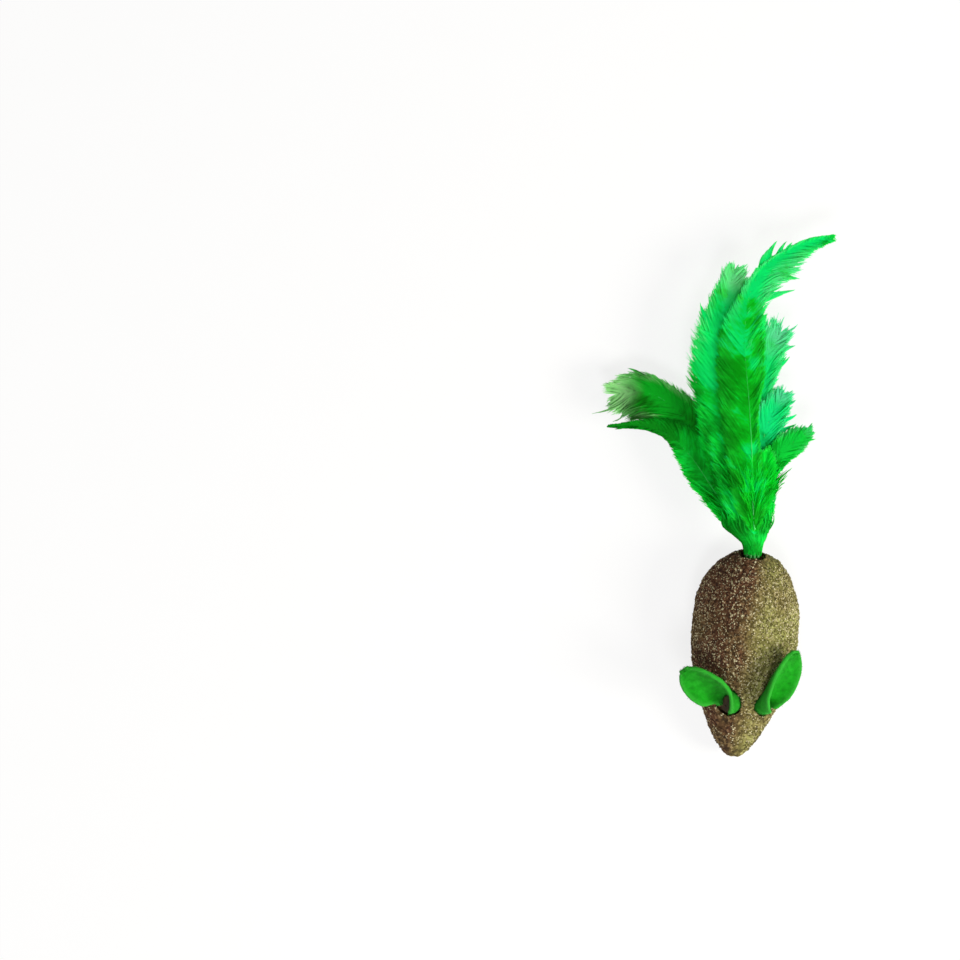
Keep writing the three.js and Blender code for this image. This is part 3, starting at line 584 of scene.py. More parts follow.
# Middle line, direction, half width and roll of the felt, from the bottom of its hole to its tip
def earRows(ear):
    mouth, axis, bend, tip = (np.array(ear[key]) for key in ("mouth", "axis", "bend", "tip"))
    rootRows, rootRadius = ears["rootRows"], ear["rootRadius"]
    depths = np.linspace(-ears["rootDepth"] - ears["gap"], 0, rootRows, endpoint=False)
    share = np.sin(np.linspace(0, np.pi / 2, ears["rows"]))
    s = share[:, None]
    centre = mouth * (1 - s) ** 2 + 2 * bend * s * (1 - s) + tip * s ** 2
    tangent = unit(2 * (1 - s) * (bend - mouth) + 2 * s * (tip - bend))
    radius = rootRadius + (ears["tipRadius"] - rootRadius) * alongTable(ears["openShares"], share)
    half = np.minimum(ear["halfWidth"] * alongTable(ears["widthShares"], share), radius * ears["roll"])
    hollow = radius * (1 - np.cos(half / radius))
    centring = rootRadius * (1 - share) + hollow / 2 * share
    centre = np.vstack([mouth + axis * depths[:, None], centre])
    tangent = np.vstack([np.tile(axis, (rootRows, 1)), tangent])
    inHole = lambda value, values: np.concatenate([np.full(rootRows, value), values])
    turn = ear["rootTurn"] * (1 - smoothstep(inHole(0, share), 0.05, 0.5))
    radius, half, centring = inHole(rootRadius, radius), inHole(half[0], half), inHole(rootRadius, centring)
    return centre, tangent, radius, half, centring, np.radians(turn)


# Felt that would run into the body rests on it instead
def restedOnBody(points, ear):
    depth, core = bodyDepth(points)
    offAxis = np.linalg.norm(np.cross(points - np.array(ear["mouth"]), np.array(ear["axis"])), axis=1)
    want = 1 + (ears["thickness"] / 2 + ears["clear"]) / ears["bodyReach"]
    ease = smoothstep(offAxis, *[ear["holeRadius"] * share for share in ears["holeEase"]])
    push = np.maximum(want / np.maximum(depth, 0.3) - 1, 0) * ease
    return points + (points - core) * push[:, None]


def twoNoises(points, coarse, fine, fineShare):
    places = [Vector(point) for point in points.reshape(-1, 3).tolist()]
    return np.array([noise.noise(p / coarse) + fineShare * noise.noise(p / fine) for p in places])


def feltEar(name, ear, material):
    centre, tangent, radius, half, centring, turn = earRows(ear)
    facing = np.array(ear["facing"])
    inward = unit(facing - tangent * (tangent @ facing)[:, None])
    inward = inward * np.cos(turn)[:, None] + np.cross(tangent, inward) * np.sin(turn)[:, None]
    sideways = np.cross(tangent, inward)[:, None]
    inward = inward[:, None]
    columns = np.linspace(-1, 1, ears["columns"])
    angle = (columns * (half / radius)[:, None])[..., None]
    radius, centring = radius[:, None, None], centring[:, None, None]
    rise = radius - radius * np.cos(angle) - centring
    middle = centre[:, None] + inward * rise + sideways * (radius * np.sin(angle))
    inner = inward * np.cos(angle) - sideways * np.sin(angle)
    middle = restedOnBody(middle.reshape(-1, 3), ear).reshape(middle.shape)
    # hand-cut felt: it waves a little
    wave = twoNoises(middle, *ears["waveNoise"]).reshape(len(middle), -1, 1)
    lift = smoothstep(np.arange(len(middle)), *ears["waveRows"])[:, None, None]
    middle = middle + inner * wave * ears["wave"] * lift
    # its cut edges are rounded from one face to the other
    thick, bulge = ears["thickness"] / 2, ears["thickness"] / 2 * ears["rimRound"]
    steps = ears["rimSteps"]
    rimAngles = np.linspace(0, np.pi, steps + 2)[1:-1, None]

    def rounding(edge, beside, turned):
        outward = unit(middle[:, edge] - middle[:, beside])[:, None]
        overEdge = inner[:, edge, None] * thick * np.cos(rimAngles) * turned
        return middle[:, edge, None] + overEdge + outward * bulge * np.sin(rimAngles)

    over, under = middle + inner * thick, middle - inner * thick
    rings = np.concatenate([over, rounding(-1, -2, 1), under[:, ::-1], rounding(0, 1, -1)], axis=1)
    core = np.concatenate([
        middle, middle[:, -1:].repeat(steps, 1), middle[:, ::-1], middle[:, :1].repeat(steps, 1)], axis=1)
    # rounded tip: the last ring shrinks towards its middle line, carried past it
    tipAngles = rimAngles[:steps // 2 + 1, None]
    tipRings = core[-1] + (rings[-1] - core[-1]) * np.cos(tipAngles) + tangent[-1] * bulge * np.sin(tipAngles)
    rings = np.concatenate([rings, tipRings])
    core = np.concatenate([core, core[-1:].repeat(len(tipRings), 0)])
    # painted highlight, strongest at the edges and over the whole tip
    fromEdge = 1 - np.abs(np.concatenate([columns, np.ones(steps), columns, np.ones(steps)]))
    reach = fromEdge * np.append(half, np.full(len(tipRings), half[-1]))[:, None]
    rim = np.exp(-(reach / ears["edgeHighlightWide"]) ** 2)
    rim[-len(tipRings) - 2:] = 1
    points = rings.reshape(-1, 3)
    outward = unit(points - core.reshape(-1, 3))
    points = points + outward * (twoNoises(points, *ears["napNoise"]) * ears["nap"])[:, None]
    faces, index = ringFaces(*rings.shape[:2])
    last, size = 2 * len(columns) + steps - 1, index.shape[1]
    for ring, order in zip(index[[0, -1]].tolist(), (-1, 1)):
        caps = [[ring[k], ring[k + 1], ring[last - 1 - k], ring[last - k]] for k in range(len(columns) - 1)]
        caps.append(ring[len(columns) - 1:len(columns) + steps + 1])
        caps.append([ring[k % size] for k in range(last, size + 1)])
        faces += [cap[::order] for cap in caps]
    rim = rim.ravel() * ears["edgeHighlightStrength"]
    piece = meshPiece(name + "_felt", points, faces, [material], values={"rim": rim})
    area = 2 * ((half[1:] + half[:-1]) / 2 * np.linalg.norm(np.diff(centre, axis=0), axis=1)).sum()
    return piece, points, outward, area


def feltFuzz(name, points, outward, material, seed):
    rng = np.random.default_rng(seed)
    count, steps = ears["fibres"], ears["fibreSteps"]
    chosen = rng.choice(len(points), count, replace=False)
    t = np.linspace(0, 1, steps)[None, :, None]
    length = rng.uniform(0.2, 0.5, (count, 1, 1))
    lean = unit(outward[chosen] + rng.normal(0, 0.9, (count, 3)))[:, None]
    curl = unit(rng.normal(size=(count, 3)))[:, None]
    paths = points[chosen][:, None] + lean * t * length + curl * t ** 2 * length * 0.6
    widths = ears["fibreWidth"] * (1 - 0.6 * t[..., 0])
    return meshPiece(name + "_fuzz", *strandMesh(paths, widths, unit(np.cross(lean, curl)), 0.6), [material])


def makeEars():
    material = feltMaterial()
    for name, ear in earPlaces.items():
        piece, points, outward, area = feltEar(name, ear, material)
        fuzz = feltFuzz(name, points, outward, material, ear["seed"])
        for part in (piece, fuzz):
            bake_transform(part)
        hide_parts(name, name + "_root")
        print(name, "felt area", round(area), "square mm")


makeEars()
print("ears ready")


# Tail

tail = {
    "point": np.array((0.893, 23.9, 12.2)), "reach": 73, "fanStart": 4.6, "fanFull": 13, "opening": 4.4,
    "pitchStart": 0.72, "pitch": 1.0, "pitchEnd": 0.65, "droop": 4.2, "sweep": 0.42,
    "quillRadius": 0.36, "quillPitch": 0.85, "neckRadius": 2.1, "gap": 0.3,
    "openShares": [(0, 0), (0.3, 0.55), (1, 1)],
    "thinShares": [(0, 1), (0.12, 0.6), (0.4, 0.36), (0.75, 0.22), (1, 0.1)],
    "barbPitch": 0.16, "barbWidth": 0.29, "barbSteps": 7, "lead": 0.8, "tipLead": 0.6,
    "sheets": 4, "sheetPitch": 0.12, "sheetSink": 0.2, "roundTip": 0.35, "shaftSteps": 400,
    "wispBarbs": 26, "downBarbs": 320,
    "streakWide": 0.9, "patchSize": 6, "toneStops": (0.34, 0.48, 0.62), "farSpan": (0.5, 0.7), "glow": 0.58,
}
# quill: its column and row in the neck. widths, camber, pale: left and right of the shaft. paleFrom: where
# the fringe is pale from, and then the whole end. denseFrom: where the fringe is dense again. shade: how
# much lighter the near part is, and the far part. tones: deep, body, light, fringe. left, right: share of
# the width at each share of the shaft. wisps: share of the shaft, offset and lead of each loose point
usual = {  # what a feather has unless its own entry says otherwise
    "wisps": [], "frayed": 0.2, "pale": (1, 1), "denseFrom": 1.2, "shade": (-0.05, 0.17),
}
feathers = [{**usual, "right": feather["left"], **feather} for feather in [
    {
        "name": "long_feather", "body": "tail", "quill": (0.5, 1), "widths": (7.6, 8.2), "soft": 0.45,
        "camber": (1.7, 1.4), "frayed": 0.8, "pale": (0.75, 0.85), "paleFrom": (0.7, 1.1), "denseFrom": 0.9,
        "tones": ("#02cc14", "#04f030", "#04ff98", "#98f8cc"),
        "shaft": [
            (-0.012, 0.16), (-0.025, 0.31), (-0.045, 0.47), (-0.067, 0.62), (-0.072, 0.73), (-0.059, 0.82),
            (-0.022, 0.89), (0.058, 0.95), (0.123, 0.98), (0.186, 0.997),
        ],
        "left": [
            (0, 0.45), (0.2, 0.85), (0.4, 1), (0.56, 0.86), (0.68, 0.4), (0.8, 0.16), (0.93, 0.14),
            (1, 0.1),
        ],
        "right": [
            (0, 0.4), (0.12, 0.42), (0.24, 0.3), (0.36, 0.3), (0.45, 0.58), (0.56, 0.64), (0.66, 0.66),
            (0.76, 0.96), (0.85, 0.7), (0.92, 0.34), (0.97, 0.18), (1, 0.12),
        ],
        "wisps": [
            (0.84, -3.3, 1.1), (0.828, -3, 1), (0.815, -2.7, 1), (0.8, -2.4, 1), (0.865, -2.2, 1.1),
            (0.857, -1.9, 1.1), (0.88, -1.4, 1.1), (0.697, 9.7, 0.13), (0.69, 8.6, 0.15), (0.815, 7, 0.7),
            (0.8, 6.8, 0.6), (0.847, 4.8, 1), (0.87, 4.2, 1),
        ],
    },
    {
        "name": "crest_plume", "body": "tail", "quill": (0.5, 0), "widths": (3.6, 3.8), "soft": 0.9,
        "camber": (0.6, 0.6), "paleFrom": (0.9, 0.95),
        "tones": ("#02b420", "#04e838", "#10fc58", "#60f08c"),
        "shaft": [(0.001, 0.13), (0.01, 0.22), (0.028, 0.32)],
        "left": [(0, 0.8), (0.5, 1), (0.85, 0.7), (1, 0.2)],
    },
    {
        "name": "broad_plume", "body": "tail", "quill": (-0.5, 1), "widths": (8.4, 7.6), "soft": 0.75,
        "camber": (1.4, -0.9), "frayed": 0.45, "pale": (0.4, 0.4), "paleFrom": (0.72, 0.86),
        "tones": ("#02d030", "#04f450", "#10ff98", "#b8fcd0"),
        "shaft": [
            (-0.052, 0.19), (-0.095, 0.37), (-0.13, 0.55), (-0.14, 0.69), (-0.132, 0.8), (-0.117, 0.87),
        ],
        "left": [(0, 0.4), (0.2, 0.65), (0.4, 0.85), (0.6, 1), (0.78, 0.78), (0.9, 0.46), (1, 0.3)],
        "right": [(0, 0.35), (0.2, 0.7), (0.5, 1), (0.8, 0.95), (0.92, 0.8), (1, 0.4)],
        "wisps": [(0.987, -3, 1.2), (1.02, -1.7, 1.5), (1.017, 1, 2), (1, 2.8, 1.4), (0.832, -5.8, 0.9)],
    },
    {
        "name": "centre_feather", "body": "tail", "quill": (-0.5, 0), "widths": (7, 6.5), "soft": 0.6,
        "camber": (1.5, 0.4), "paleFrom": (0.9, 1.1), "tones": ("#02b420", "#04e838", "#10fc60", "#50f090"),
        "shaft": [(-0.042, 0.155), (-0.079, 0.28), (-0.122, 0.4), (-0.172, 0.5)],
        "left": [(0, 0.5), (0.3, 0.85), (0.6, 1), (0.85, 0.72), (1, 0.15)],
    },
    {
        "name": "right_side_feather", "body": "right_feathers", "quill": (1.5, 0.5), "widths": (4, 4.2),
        "soft": 0.45, "camber": (1.2, 1.2), "frayed": 0.4, "pale": (1, 0.5), "paleFrom": (0.8, 0.92),
        "tones": ("#029c0c", "#04cc20", "#0cf054", "#70f0b4"),
        "shaft": [(0.018, 0.144), (0.03, 0.223), (0.056, 0.29), (0.098, 0.342), (0.155, 0.388)],
        "left": [(0, 0.6), (0.4, 0.8), (0.7, 1), (0.9, 0.8), (1, 0.25)],
        "right": [(0, 0.6), (0.25, 0.5), (0.45, 0.4), (0.65, 0.72), (0.85, 0.8), (1, 0.3)],
        "wisps": [(1.035, -1.1, 1.3), (0.97, 2.3, 1)],
    },
    {
        "name": "right_down_plume", "body": "right_feathers", "quill": (1.5, -0.5), "widths": (5.2, 6),
        "soft": 0.7, "camber": (0.8, 0.8), "frayed": 0.4, "pale": (0.65, 0.65), "paleFrom": (0.66, 0.9),
        "tones": ("#02c858", "#04f088", "#14fcac", "#80f4d0"),
        "shaft": [(0.01, 0.16), (0.006, 0.28), (0.016, 0.38), (0.038, 0.44), (0.063, 0.49)],
        "left": [(0, 0.5), (0.4, 0.85), (0.7, 1), (0.9, 0.8), (1, 0.5)],
        "right": [(0, 0.6), (0.3, 0.7), (0.6, 0.7), (0.82, 0.74), (1, 0.45)],
        "wisps": [
            (1.015, -2, 1.2), (1.057, 1.3, 1.2), (0.99, 3, 1), (0.88, 5, 0.8), (0.792, 6, 0.7),
            (0.837, -4.4, 1), (0.837, -2.7, 1.1),
        ],
    },
    {
        "name": "right_plume", "body": "tail", "quill": (0.5, -1), "widths": (7.5, 5.8), "soft": 0.65,
        "camber": (-0.8, 0.8), "frayed": 0.55, "pale": (0.8, 0.7), "paleFrom": (0.56, 0.84),
        "tones": ("#02d438", "#08f870", "#18ffa4", "#8cf8d0"),
        "shaft": [(-0.006, 0.22), (-0.009, 0.38), (-0.008, 0.5), (0.004, 0.6), (0.02, 0.65), (0.04, 0.685)],
        "left": [(0, 0.4), (0.3, 0.8), (0.6, 1), (0.85, 0.8), (1, 0.6)],
        "right": [(0, 0.5), (0.25, 0.6), (0.5, 0.55), (0.7, 0.62), (0.86, 0.8), (1, 0.6)],
        "wisps": [
            (1.062, 2.2, 1.3), (1.07, -1.3, 1.5), (0.96, 4.6, 1), (0.865, 4.9, 1), (0.995, -4.2, 1.1),
        ],
    },
    {
        "name": "lower_left_feather", "body": "left_feathers", "quill": (-1.5, 0.5), "widths": (4.2, 6),
        "soft": 0.5, "camber": (0.8, 1.4), "pale": (0.5, 0.5), "paleFrom": (0.9, 1.1),
        "shade": (0.04, -0.22), "tones": ("#02b41c", "#04e438", "#10fc60", "#4cf084"),
        "shaft": [
            (-0.092, 0.125), (-0.152, 0.205), (-0.212, 0.28), (-0.274, 0.335), (-0.347, 0.362),
            (-0.472, 0.358),
        ],
        "left": [(0, 0.6), (0.25, 0.8), (0.42, 1), (0.56, 0.7), (0.68, 0.32), (0.84, 0.18), (1, 0.07)],
        "right": [(0, 0.5), (0.25, 0.85), (0.45, 1), (0.62, 0.8), (0.78, 0.4), (0.9, 0.2), (1, 0.08)],
        "wisps": [(1.012, 0.1, 5), (0.97, -0.6, 3)],
    },
    {
        "name": "left_side_feather", "body": "left_feathers", "quill": (-1.5, -0.5), "widths": (8, 5.2),
        "soft": 0.45, "camber": (1.6, 1.2), "frayed": 0.5, "pale": (0.7, 0.5), "paleFrom": (0.72, 0.86),
        "shade": (0.1, 0.08), "tones": ("#027404", "#04a40c", "#08d42c", "#d0fcc4"),
        "shaft": [
            (-0.062, 0.138), (-0.117, 0.23), (-0.187, 0.335), (-0.262, 0.42), (-0.338, 0.465),
            (-0.412, 0.473), (-0.457, 0.461),
        ],
        "left": [(0, 0.5), (0.3, 0.62), (0.5, 0.75), (0.7, 0.92), (0.86, 1), (1, 0.6)],
        "right": [(0, 0.5), (0.3, 0.75), (0.5, 0.95), (0.62, 1), (0.76, 0.88), (0.9, 1), (1, 0.7)],
        "wisps": [
            (0.912, 5.2, 1), (1.03, 2.5, 1.5), (1.035, -2.7, 2), (1.108, -3.3, 3.6), (1.075, -3.4, 3),
            (1, -6, 1.4), (0.722, -7.9, 0.9),
        ],
    },
    {
        "name": "under_plume", "body": "tail", "quill": (-0.5, -1), "widths": (4.8, 4.8), "soft": 0.9,
        "camber": (0.8, 0.8), "paleFrom": (0.9, 0.95),
        "tones": ("#02a414", "#04dc30", "#10f450", "#60e890"),
        "shaft": [(-0.062, 0.122), (-0.112, 0.2), (-0.162, 0.26)],
        "left": [(0, 0.75), (0.5, 1), (0.85, 0.7), (1, 0.2)],
    },
]]


def layerHeight(layer, distance):
    opened = smoothstep(distance, tail["fanStart"], tail["fanFull"])
    spread = np.maximum((distance - tail["fanFull"]) / (tail["reach"] - tail["fanFull"]), 0)
    lasting = tail["pitch"] + (tail["pitchEnd"] - tail["pitch"]) * spread
    pitch = tail["pitchStart"] * (1 - opened) + lasting * opened
    middle = (len(feathers) - 1) / 2
    return (middle - layer) * pitch - tail["droop"] * (distance / tail["reach"]) ** 2


# The shares of the shaft between which the fringe turns pale, and between which it's dense again
def fringeSpans(feather):
    pale, dense = feather["paleFrom"][0], feather["denseFrom"]
    return (pale - 0.12, pale + 0.04), (dense - 0.04, dense + 0.03)


# Dyed cock hackle and plume: soft keratin barbs, matt in the mass, letting light through; the frayed edge is
# painted pale, as if the white floor showed through
def featherMaterial(feather, length):
    *dyes, fringe = feather["tones"]
    material, tree = newMaterial("dyedBarbs_" + feather["name"])
    spot = addNode(tree, "UVMap", {"uv_map": "OFBake"})
    parts = addNode(tree, "SeparateXYZ", {}, {"Vector": spot}).outputs
    # streaks follow the barbs: fine along the shaft, long across it
    stretch = addNode(tree, "Mapping", {"Scale": (length / tail["streakWide"], 2.2, 1)}, {"Vector": spot})
    streaks = addNode(tree, "TexNoise", {"Scale": 1, "Detail": 4, "Roughness": 0.6}, {"Vector": stretch})
    patches = noiseNode(tree, tail["patchSize"], 3)
    lock = addNode(tree, "Attribute", {"attribute_name": "tone"}).outputs["Fac"]
    total = valueMix(tree, 0.72, streaks, patches)
    for change in (rangeNode(tree, lock, -0.06, 0.06),
                   rangeNode(tree, parts["X"], *feather["shade"], *tail["farSpan"], eased=True)):
        total = mathNode(tree, "ADD", total, change)
    tone = rampNode(tree, total, list(zip(tail["toneStops"], dyes)))
    # painted see-through light: the fringe pales towards its edge, and at last the whole end does, as if the
    # white floor showed through the barbs
    paleSpan, denseSpan = fringeSpans(feather)
    endFrom = feather["paleFrom"][1]
    centred = mathNode(tree, "SUBTRACT", parts["Y"], 0.5)
    offShaft = mathNode(tree, "ABSOLUTE", centred)
    fringed = rangeNode(tree, offShaft, 0, 1, 0.5 - feather["frayed"] / 2, 0.48, eased=True)
    for share in (rangeNode(tree, parts["X"], 0.08, 1, *paleSpan, eased=True),
                  rangeNode(tree, centred, *feather["pale"], -0.01, 0.01),
                  rangeNode(tree, parts["X"], 1, 0.25, *denseSpan)):
        fringed = mathNode(tree, "MULTIPLY", fringed, share)
    end = rangeNode(tree, parts["X"], 0, 1, endFrom, endFrom + 0.12, eased=True)
    uneven = rangeNode(tree, patches, 0.3, 0.9, 0.3, 0.62)
    paintedSeeThrough = mathNode(tree, "MULTIPLY", mathNode(tree, "MAXIMUM", fringed, end), uneven)
    dyed = colourMix(tree, paintedSeeThrough, tone, fringe)
    gloss = rangeNode(tree, streaks, 0.55, 0.8)
    shader = principled(tree, {"IOR": 1.55, "Specular IOR Level": 0.12}, dyed, gloss)
    glow = addNode(tree, "BsdfTranslucent", {}, {"Color": dyed})
    return surfaced(material, addNode(tree, "MixShader", {0: tail["glow"]}, {1: shader, 2: glow}))


# Dyed quill: hard smooth keratin with a waxy gloss, paler than the barbs
def quillMaterial(name, pale, dyed):
    return plainMaterial(name, 2.4, 3, [(0.35, dyed), (0.65, pale)], (0.3, 0.5), {"IOR": 1.55})


# The shaft in plan from the neck, ready to be read at any share of its length
class Shaft:
    def __init__(self, feather, layer):
        self.layer = layer
        self.feather = feather
        self.widest = max(feather["widths"])
        x, self.z = (place * tail["quillPitch"] for place in feather["quill"])
        offAxis = min(math.hypot(x, self.z), tail["neckRadius"])
        start = math.sqrt((tail["neckRadius"] + tail["gap"]) ** 2 - offAxis ** 2)
        knots = np.vstack([[x, start], np.array(feather["shaft"]) * tail["reach"]])
        self.points, self.along, self.length = evenPath(knots, tail["shaftSteps"])
        self.shares = np.linspace(0, 1, tail["shaftSteps"])

    def at(self, share):
        inside = np.clip(share, 0, 1)
        read = lambda values: np.stack([np.interp(inside, self.shares, values[:, k]) for k in (0, 1)], -1)
        along = read(self.along)
        past = (share - inside) * self.length
        return read(self.points) + along * past[..., None], along

    # A spot on the vane: share along the shaft, offset across it to the right, lift off the layer
    def spot(self, share, offset, lift=0):
        place, along = self.at(share)
        right = np.stack([along[..., 1], -along[..., 0]], -1)
        beyond = np.maximum(np.abs(offset) - tail["quillRadius"], 0) * tail["sweep"]
        plan = place + right * np.asarray(offset)[..., None] + along * beyond[..., None]
        distance = np.linalg.norm(plan, axis=-1)
        fanned = smoothstep(distance, tail["neckRadius"] + tail["gap"], tail["fanStart"])
        height = self.z * (1 - fanned) + layerHeight(self.layer, distance) * fanned + lift
        return np.concatenate([plan, height[..., None]], -1) + tail["point"]

    def halfWidth(self, share, side):
        table = self.feather["right" if side > 0 else "left"]
        place, _ = self.at(share)
        opened = np.clip((np.linalg.norm(place, axis=-1) - tail["fanStart"]) / tail["opening"], 0, 1)
        shown = alongTable(table, np.clip(share, 0, 1)) * alongTable(tail["openShares"], opened)
        return self.feather["widths"][side > 0] * shown

    # How far the vane curls down towards its edge
    def curled(self, offset, side):
        return self.feather["camber"][side > 0] * (offset / self.widest) ** 2

    # Where each strand lies on the feather's map: along the shaft, and out from it
    def onMap(self, share, widths, outward):
        return strandMap(share, widths / 2 / self.length, outward)


def strandMap(share, wideShare, outward):
    u = np.stack([share + wideShare, share - wideShare, share], -1)
    v = np.broadcast_to(outward, share.shape)[..., None].repeat(3, -1)
    return np.clip(np.stack([u, v], -1).reshape(-1, 2), 0.001, 0.999)


# Barbs cling in locks: start, end, reach, pull to its middle, lift, slant and tone
def barbLocks(rng, shaft, end):
    soft = shaft.feather["soft"]
    locks, place = [], 0.0
    while place < end:
        wide = rng.uniform(0.8, 2.4 + 2 * soft) / shaft.length
        reach = 1 - abs(rng.normal(0, 0.04 + 0.06 * soft))
        lift, slant = rng.normal(0, 0.3 + 0.6 * soft), rng.normal(0, 0.12 + 0.25 * soft)
        locks.append([place, place + wide, reach, rng.uniform(0.1, 0.6), lift, slant, rng.uniform(0, 1)])
        place += wide
    return np.array(locks)


# Sheet 0 fills the vane under the locks. Past the end of the shaft the barbs fan into a round tip
def vaneBarbs(rng, shaft, side, sheet, past):
    feather, soft = shaft.feather, shaft.feather["soft"]
    locks = barbLocks(rng, shaft, 1 + past)
    count = int(shaft.length * (1 + past) / tail["barbPitch"])
    tips = (np.arange(count) + rng.uniform(0, 1, count)) / count * (1 + past)
    beyond = np.clip((tips - 1) / past, 0, 1)
    full = shaft.halfWidth(tips, side)
    leastWidth = 0.25
    kept = (full > leastWidth) | (beyond > 0)
    tips, beyond, full = tips[kept], beyond[kept], full[kept]
    count = len(tips)
    # each barb takes its reach, lift, slant and tone from its lock, and frays where the fringe is pale
    which = np.clip(np.searchsorted(locks[:, 0], tips, side="right") - 1, 0, len(locks) - 1)
    low, high, reach, pull, lift, slant, tone = locks[which].T
    paleSpan, denseSpan = fringeSpans(feather)
    fraying = feather["frayed"] * feather["pale"][side > 0] * (0.25 + 0.75 * smoothstep(tips, *paleSpan))
    fraying = fraying * (1 - smoothstep(tips, *denseSpan))
    if sheet == 0:
        reach, pull, lift, slant = 0.9 - 0.45 * fraying, pull * 0.1, lift * 0.4, slant * 0.3
    # it's rooted further down the shaft than it ends, and clings to the middle of its lock
    centre = (low + high) / 2
    lead = (tail["lead"] + tail["tipLead"] * smoothstep(tips, 0.7, 1)) * (1 + slant)
    roots = np.minimum(tips, 1) - lead * full / shaft.length * (1 - beyond) * rng.uniform(0.8, 1.2, count)
    roots = np.maximum(roots, 0)
    t = np.linspace(0, 1, tail["barbSteps"])[None, :]
    thinned = 1 - fraying * 0.55 * rng.uniform(0, 1, count) ** 0.7
    reach = reach * thinned * rng.uniform(0.9 - 0.12 * soft, 1.04, count)
    ends = np.where(beyond > 0, 1 + (tips - 1) * np.minimum(reach, 1), tips)
    share = roots[:, None] + (ends - roots)[:, None] * t
    share = share + ((centre - tips) * pull)[:, None] * t ** 3
    curl = rng.normal(0, 0.15 + 0.35 * soft, (count, 1)) * np.sin(t * rng.uniform(2, 5, (count, 1)))
    share = share + curl / shaft.length
    outward = 1 - (1 - t) ** (1.3 - 0.2 * soft)
    offset = (full * np.sqrt(1 - beyond ** 2) * reach)[:, None] * outward
    height = (
        lift[:, None] * t ** 2 * 0.8 - shaft.curled(offset, side)
        + rng.normal(0, 0.1 + 0.4 * soft, (count, 1)) * t ** 1.5
        + tail["sheetPitch"] * sheet - tail["sheetSink"]
    )
    paths = shaft.spot(share, side * offset, height)
    widths = tail["barbWidth"] * (1 - 0.1 * t - 0.7 * t ** 4) * rng.uniform(0.75, 1.25, (count, 1))
    turn = rng.normal(0, 0.12 + 0.25 * soft, (count, 1, 1)) * t[..., None]
    sideways = np.cross(unit(np.gradient(paths, axis=1)), up)
    strands = strandMesh(paths, widths, up * np.cos(turn) + sideways * np.sin(turn))
    tone = np.clip(tone + rng.normal(0, 0.15, count), 0, 1)
    return *strands, 0, shaft.onMap(share, widths, 0.5 + 0.48 * side * t), tone


# A wisp: barbs of one narrow lock that end in a point of their own, past the edge or within it
def wispBarbs(rng, shaft, share, offset, lead):
    count = tail["wispBarbs"]
    reach, side = abs(offset), math.copysign(1, offset)
    t = np.linspace(0, 1, tail["barbSteps"])[None, :] * rng.uniform(0.7, 1, (count, 1))
    spread = rng.uniform(-1, 1, (count, 1)) * (0.5 + 0.17 * reach)
    roots = np.minimum(share - (lead * reach + spread) / shaft.length, 1)
    ends = share + rng.normal(0, 0.12, (count, 1)) / shaft.length
    shares = roots + (ends - roots) * t
    offsets = side * reach * (1 - (1 - t) ** (1.2 + 0.35 * lead))
    height = 0.1 + rng.normal(0, 0.35) * t ** 2 + rng.normal(0, 0.15, (count, 1)) * t
    height = height - shaft.curled(np.minimum(reach * t, shaft.widest), side)
    paths = shaft.spot(shares, offsets, height)
    widths = tail["barbWidth"] * (1 - 0.15 * t - 0.6 * t ** 4)
    place = shaft.onMap(shares, widths, 0.5 + 0.4 * side * t)
    return *strandMesh(paths, widths, up), 0, place, rng.uniform(0, 0.6, count)


# Loose down round the foot of a shaft, kept within the bundle
def footDown(rng, shaft):
    soft, count = shaft.feather["soft"], tail["downBarbs"]
    roots = rng.uniform(0.5, min(12, shaft.length * 0.6), count)
    t = np.linspace(0, 1, tail["barbSteps"])[None, :]
    side = rng.choice((-1, 1), count)
    place, _ = shaft.at(roots / shaft.length)
    spread = np.clip((np.linalg.norm(place, axis=-1) - 1.5) / 8, 0.12, 1)
    reach = rng.uniform(1.5, 4.2, count) * spread
    forward = rng.uniform(3, 7, count)
    share = (roots[:, None] + forward[:, None] * t) / shaft.length
    bend = rng.normal(0, 0.25, (count, 1)) * np.sin(np.pi * t * rng.uniform(0.7, 1.6, (count, 1)))
    offset = (side * reach)[:, None] * t ** 0.8 + bend
    rise = (rng.normal(0, 1.2 + 0.8 * soft, count) * spread)[:, None] * t ** 0.9
    widths = 0.3 * (1 - 0.7 * t ** 2)
    ups = unit(rng.normal(0, 0.6, (count, 1, 3)) + up)
    strands = strandMesh(shaft.spot(share, offset, rise), widths, ups, 0.4)
    place = shaft.onMap(share, widths, 0.5 + 0.3 * side[:, None] * t)
    return *strands, 0, place, rng.uniform(0.1, 1, count)


def shaftTube(shaft):
    sides = 8
    shares = np.concatenate([[-0.9 / shaft.length], np.linspace(0, 1, 60)])
    inside = np.clip(shares, 0, 1)
    path = shaft.spot(shares, np.zeros(len(shares)), 0.06 * np.clip(shares * 12, 0, 1))
    points, faces = tubeMesh(path, tail["quillRadius"] * alongTable(tail["thinShares"], inside), sides)
    aside = np.tile(np.linspace(-0.01, 0.01, sides), len(shares))
    uv = np.stack([np.clip(shares, 0.001, 0.999).repeat(sides), 0.5 + aside], -1)
    return points, faces, 1, uv, 0.5


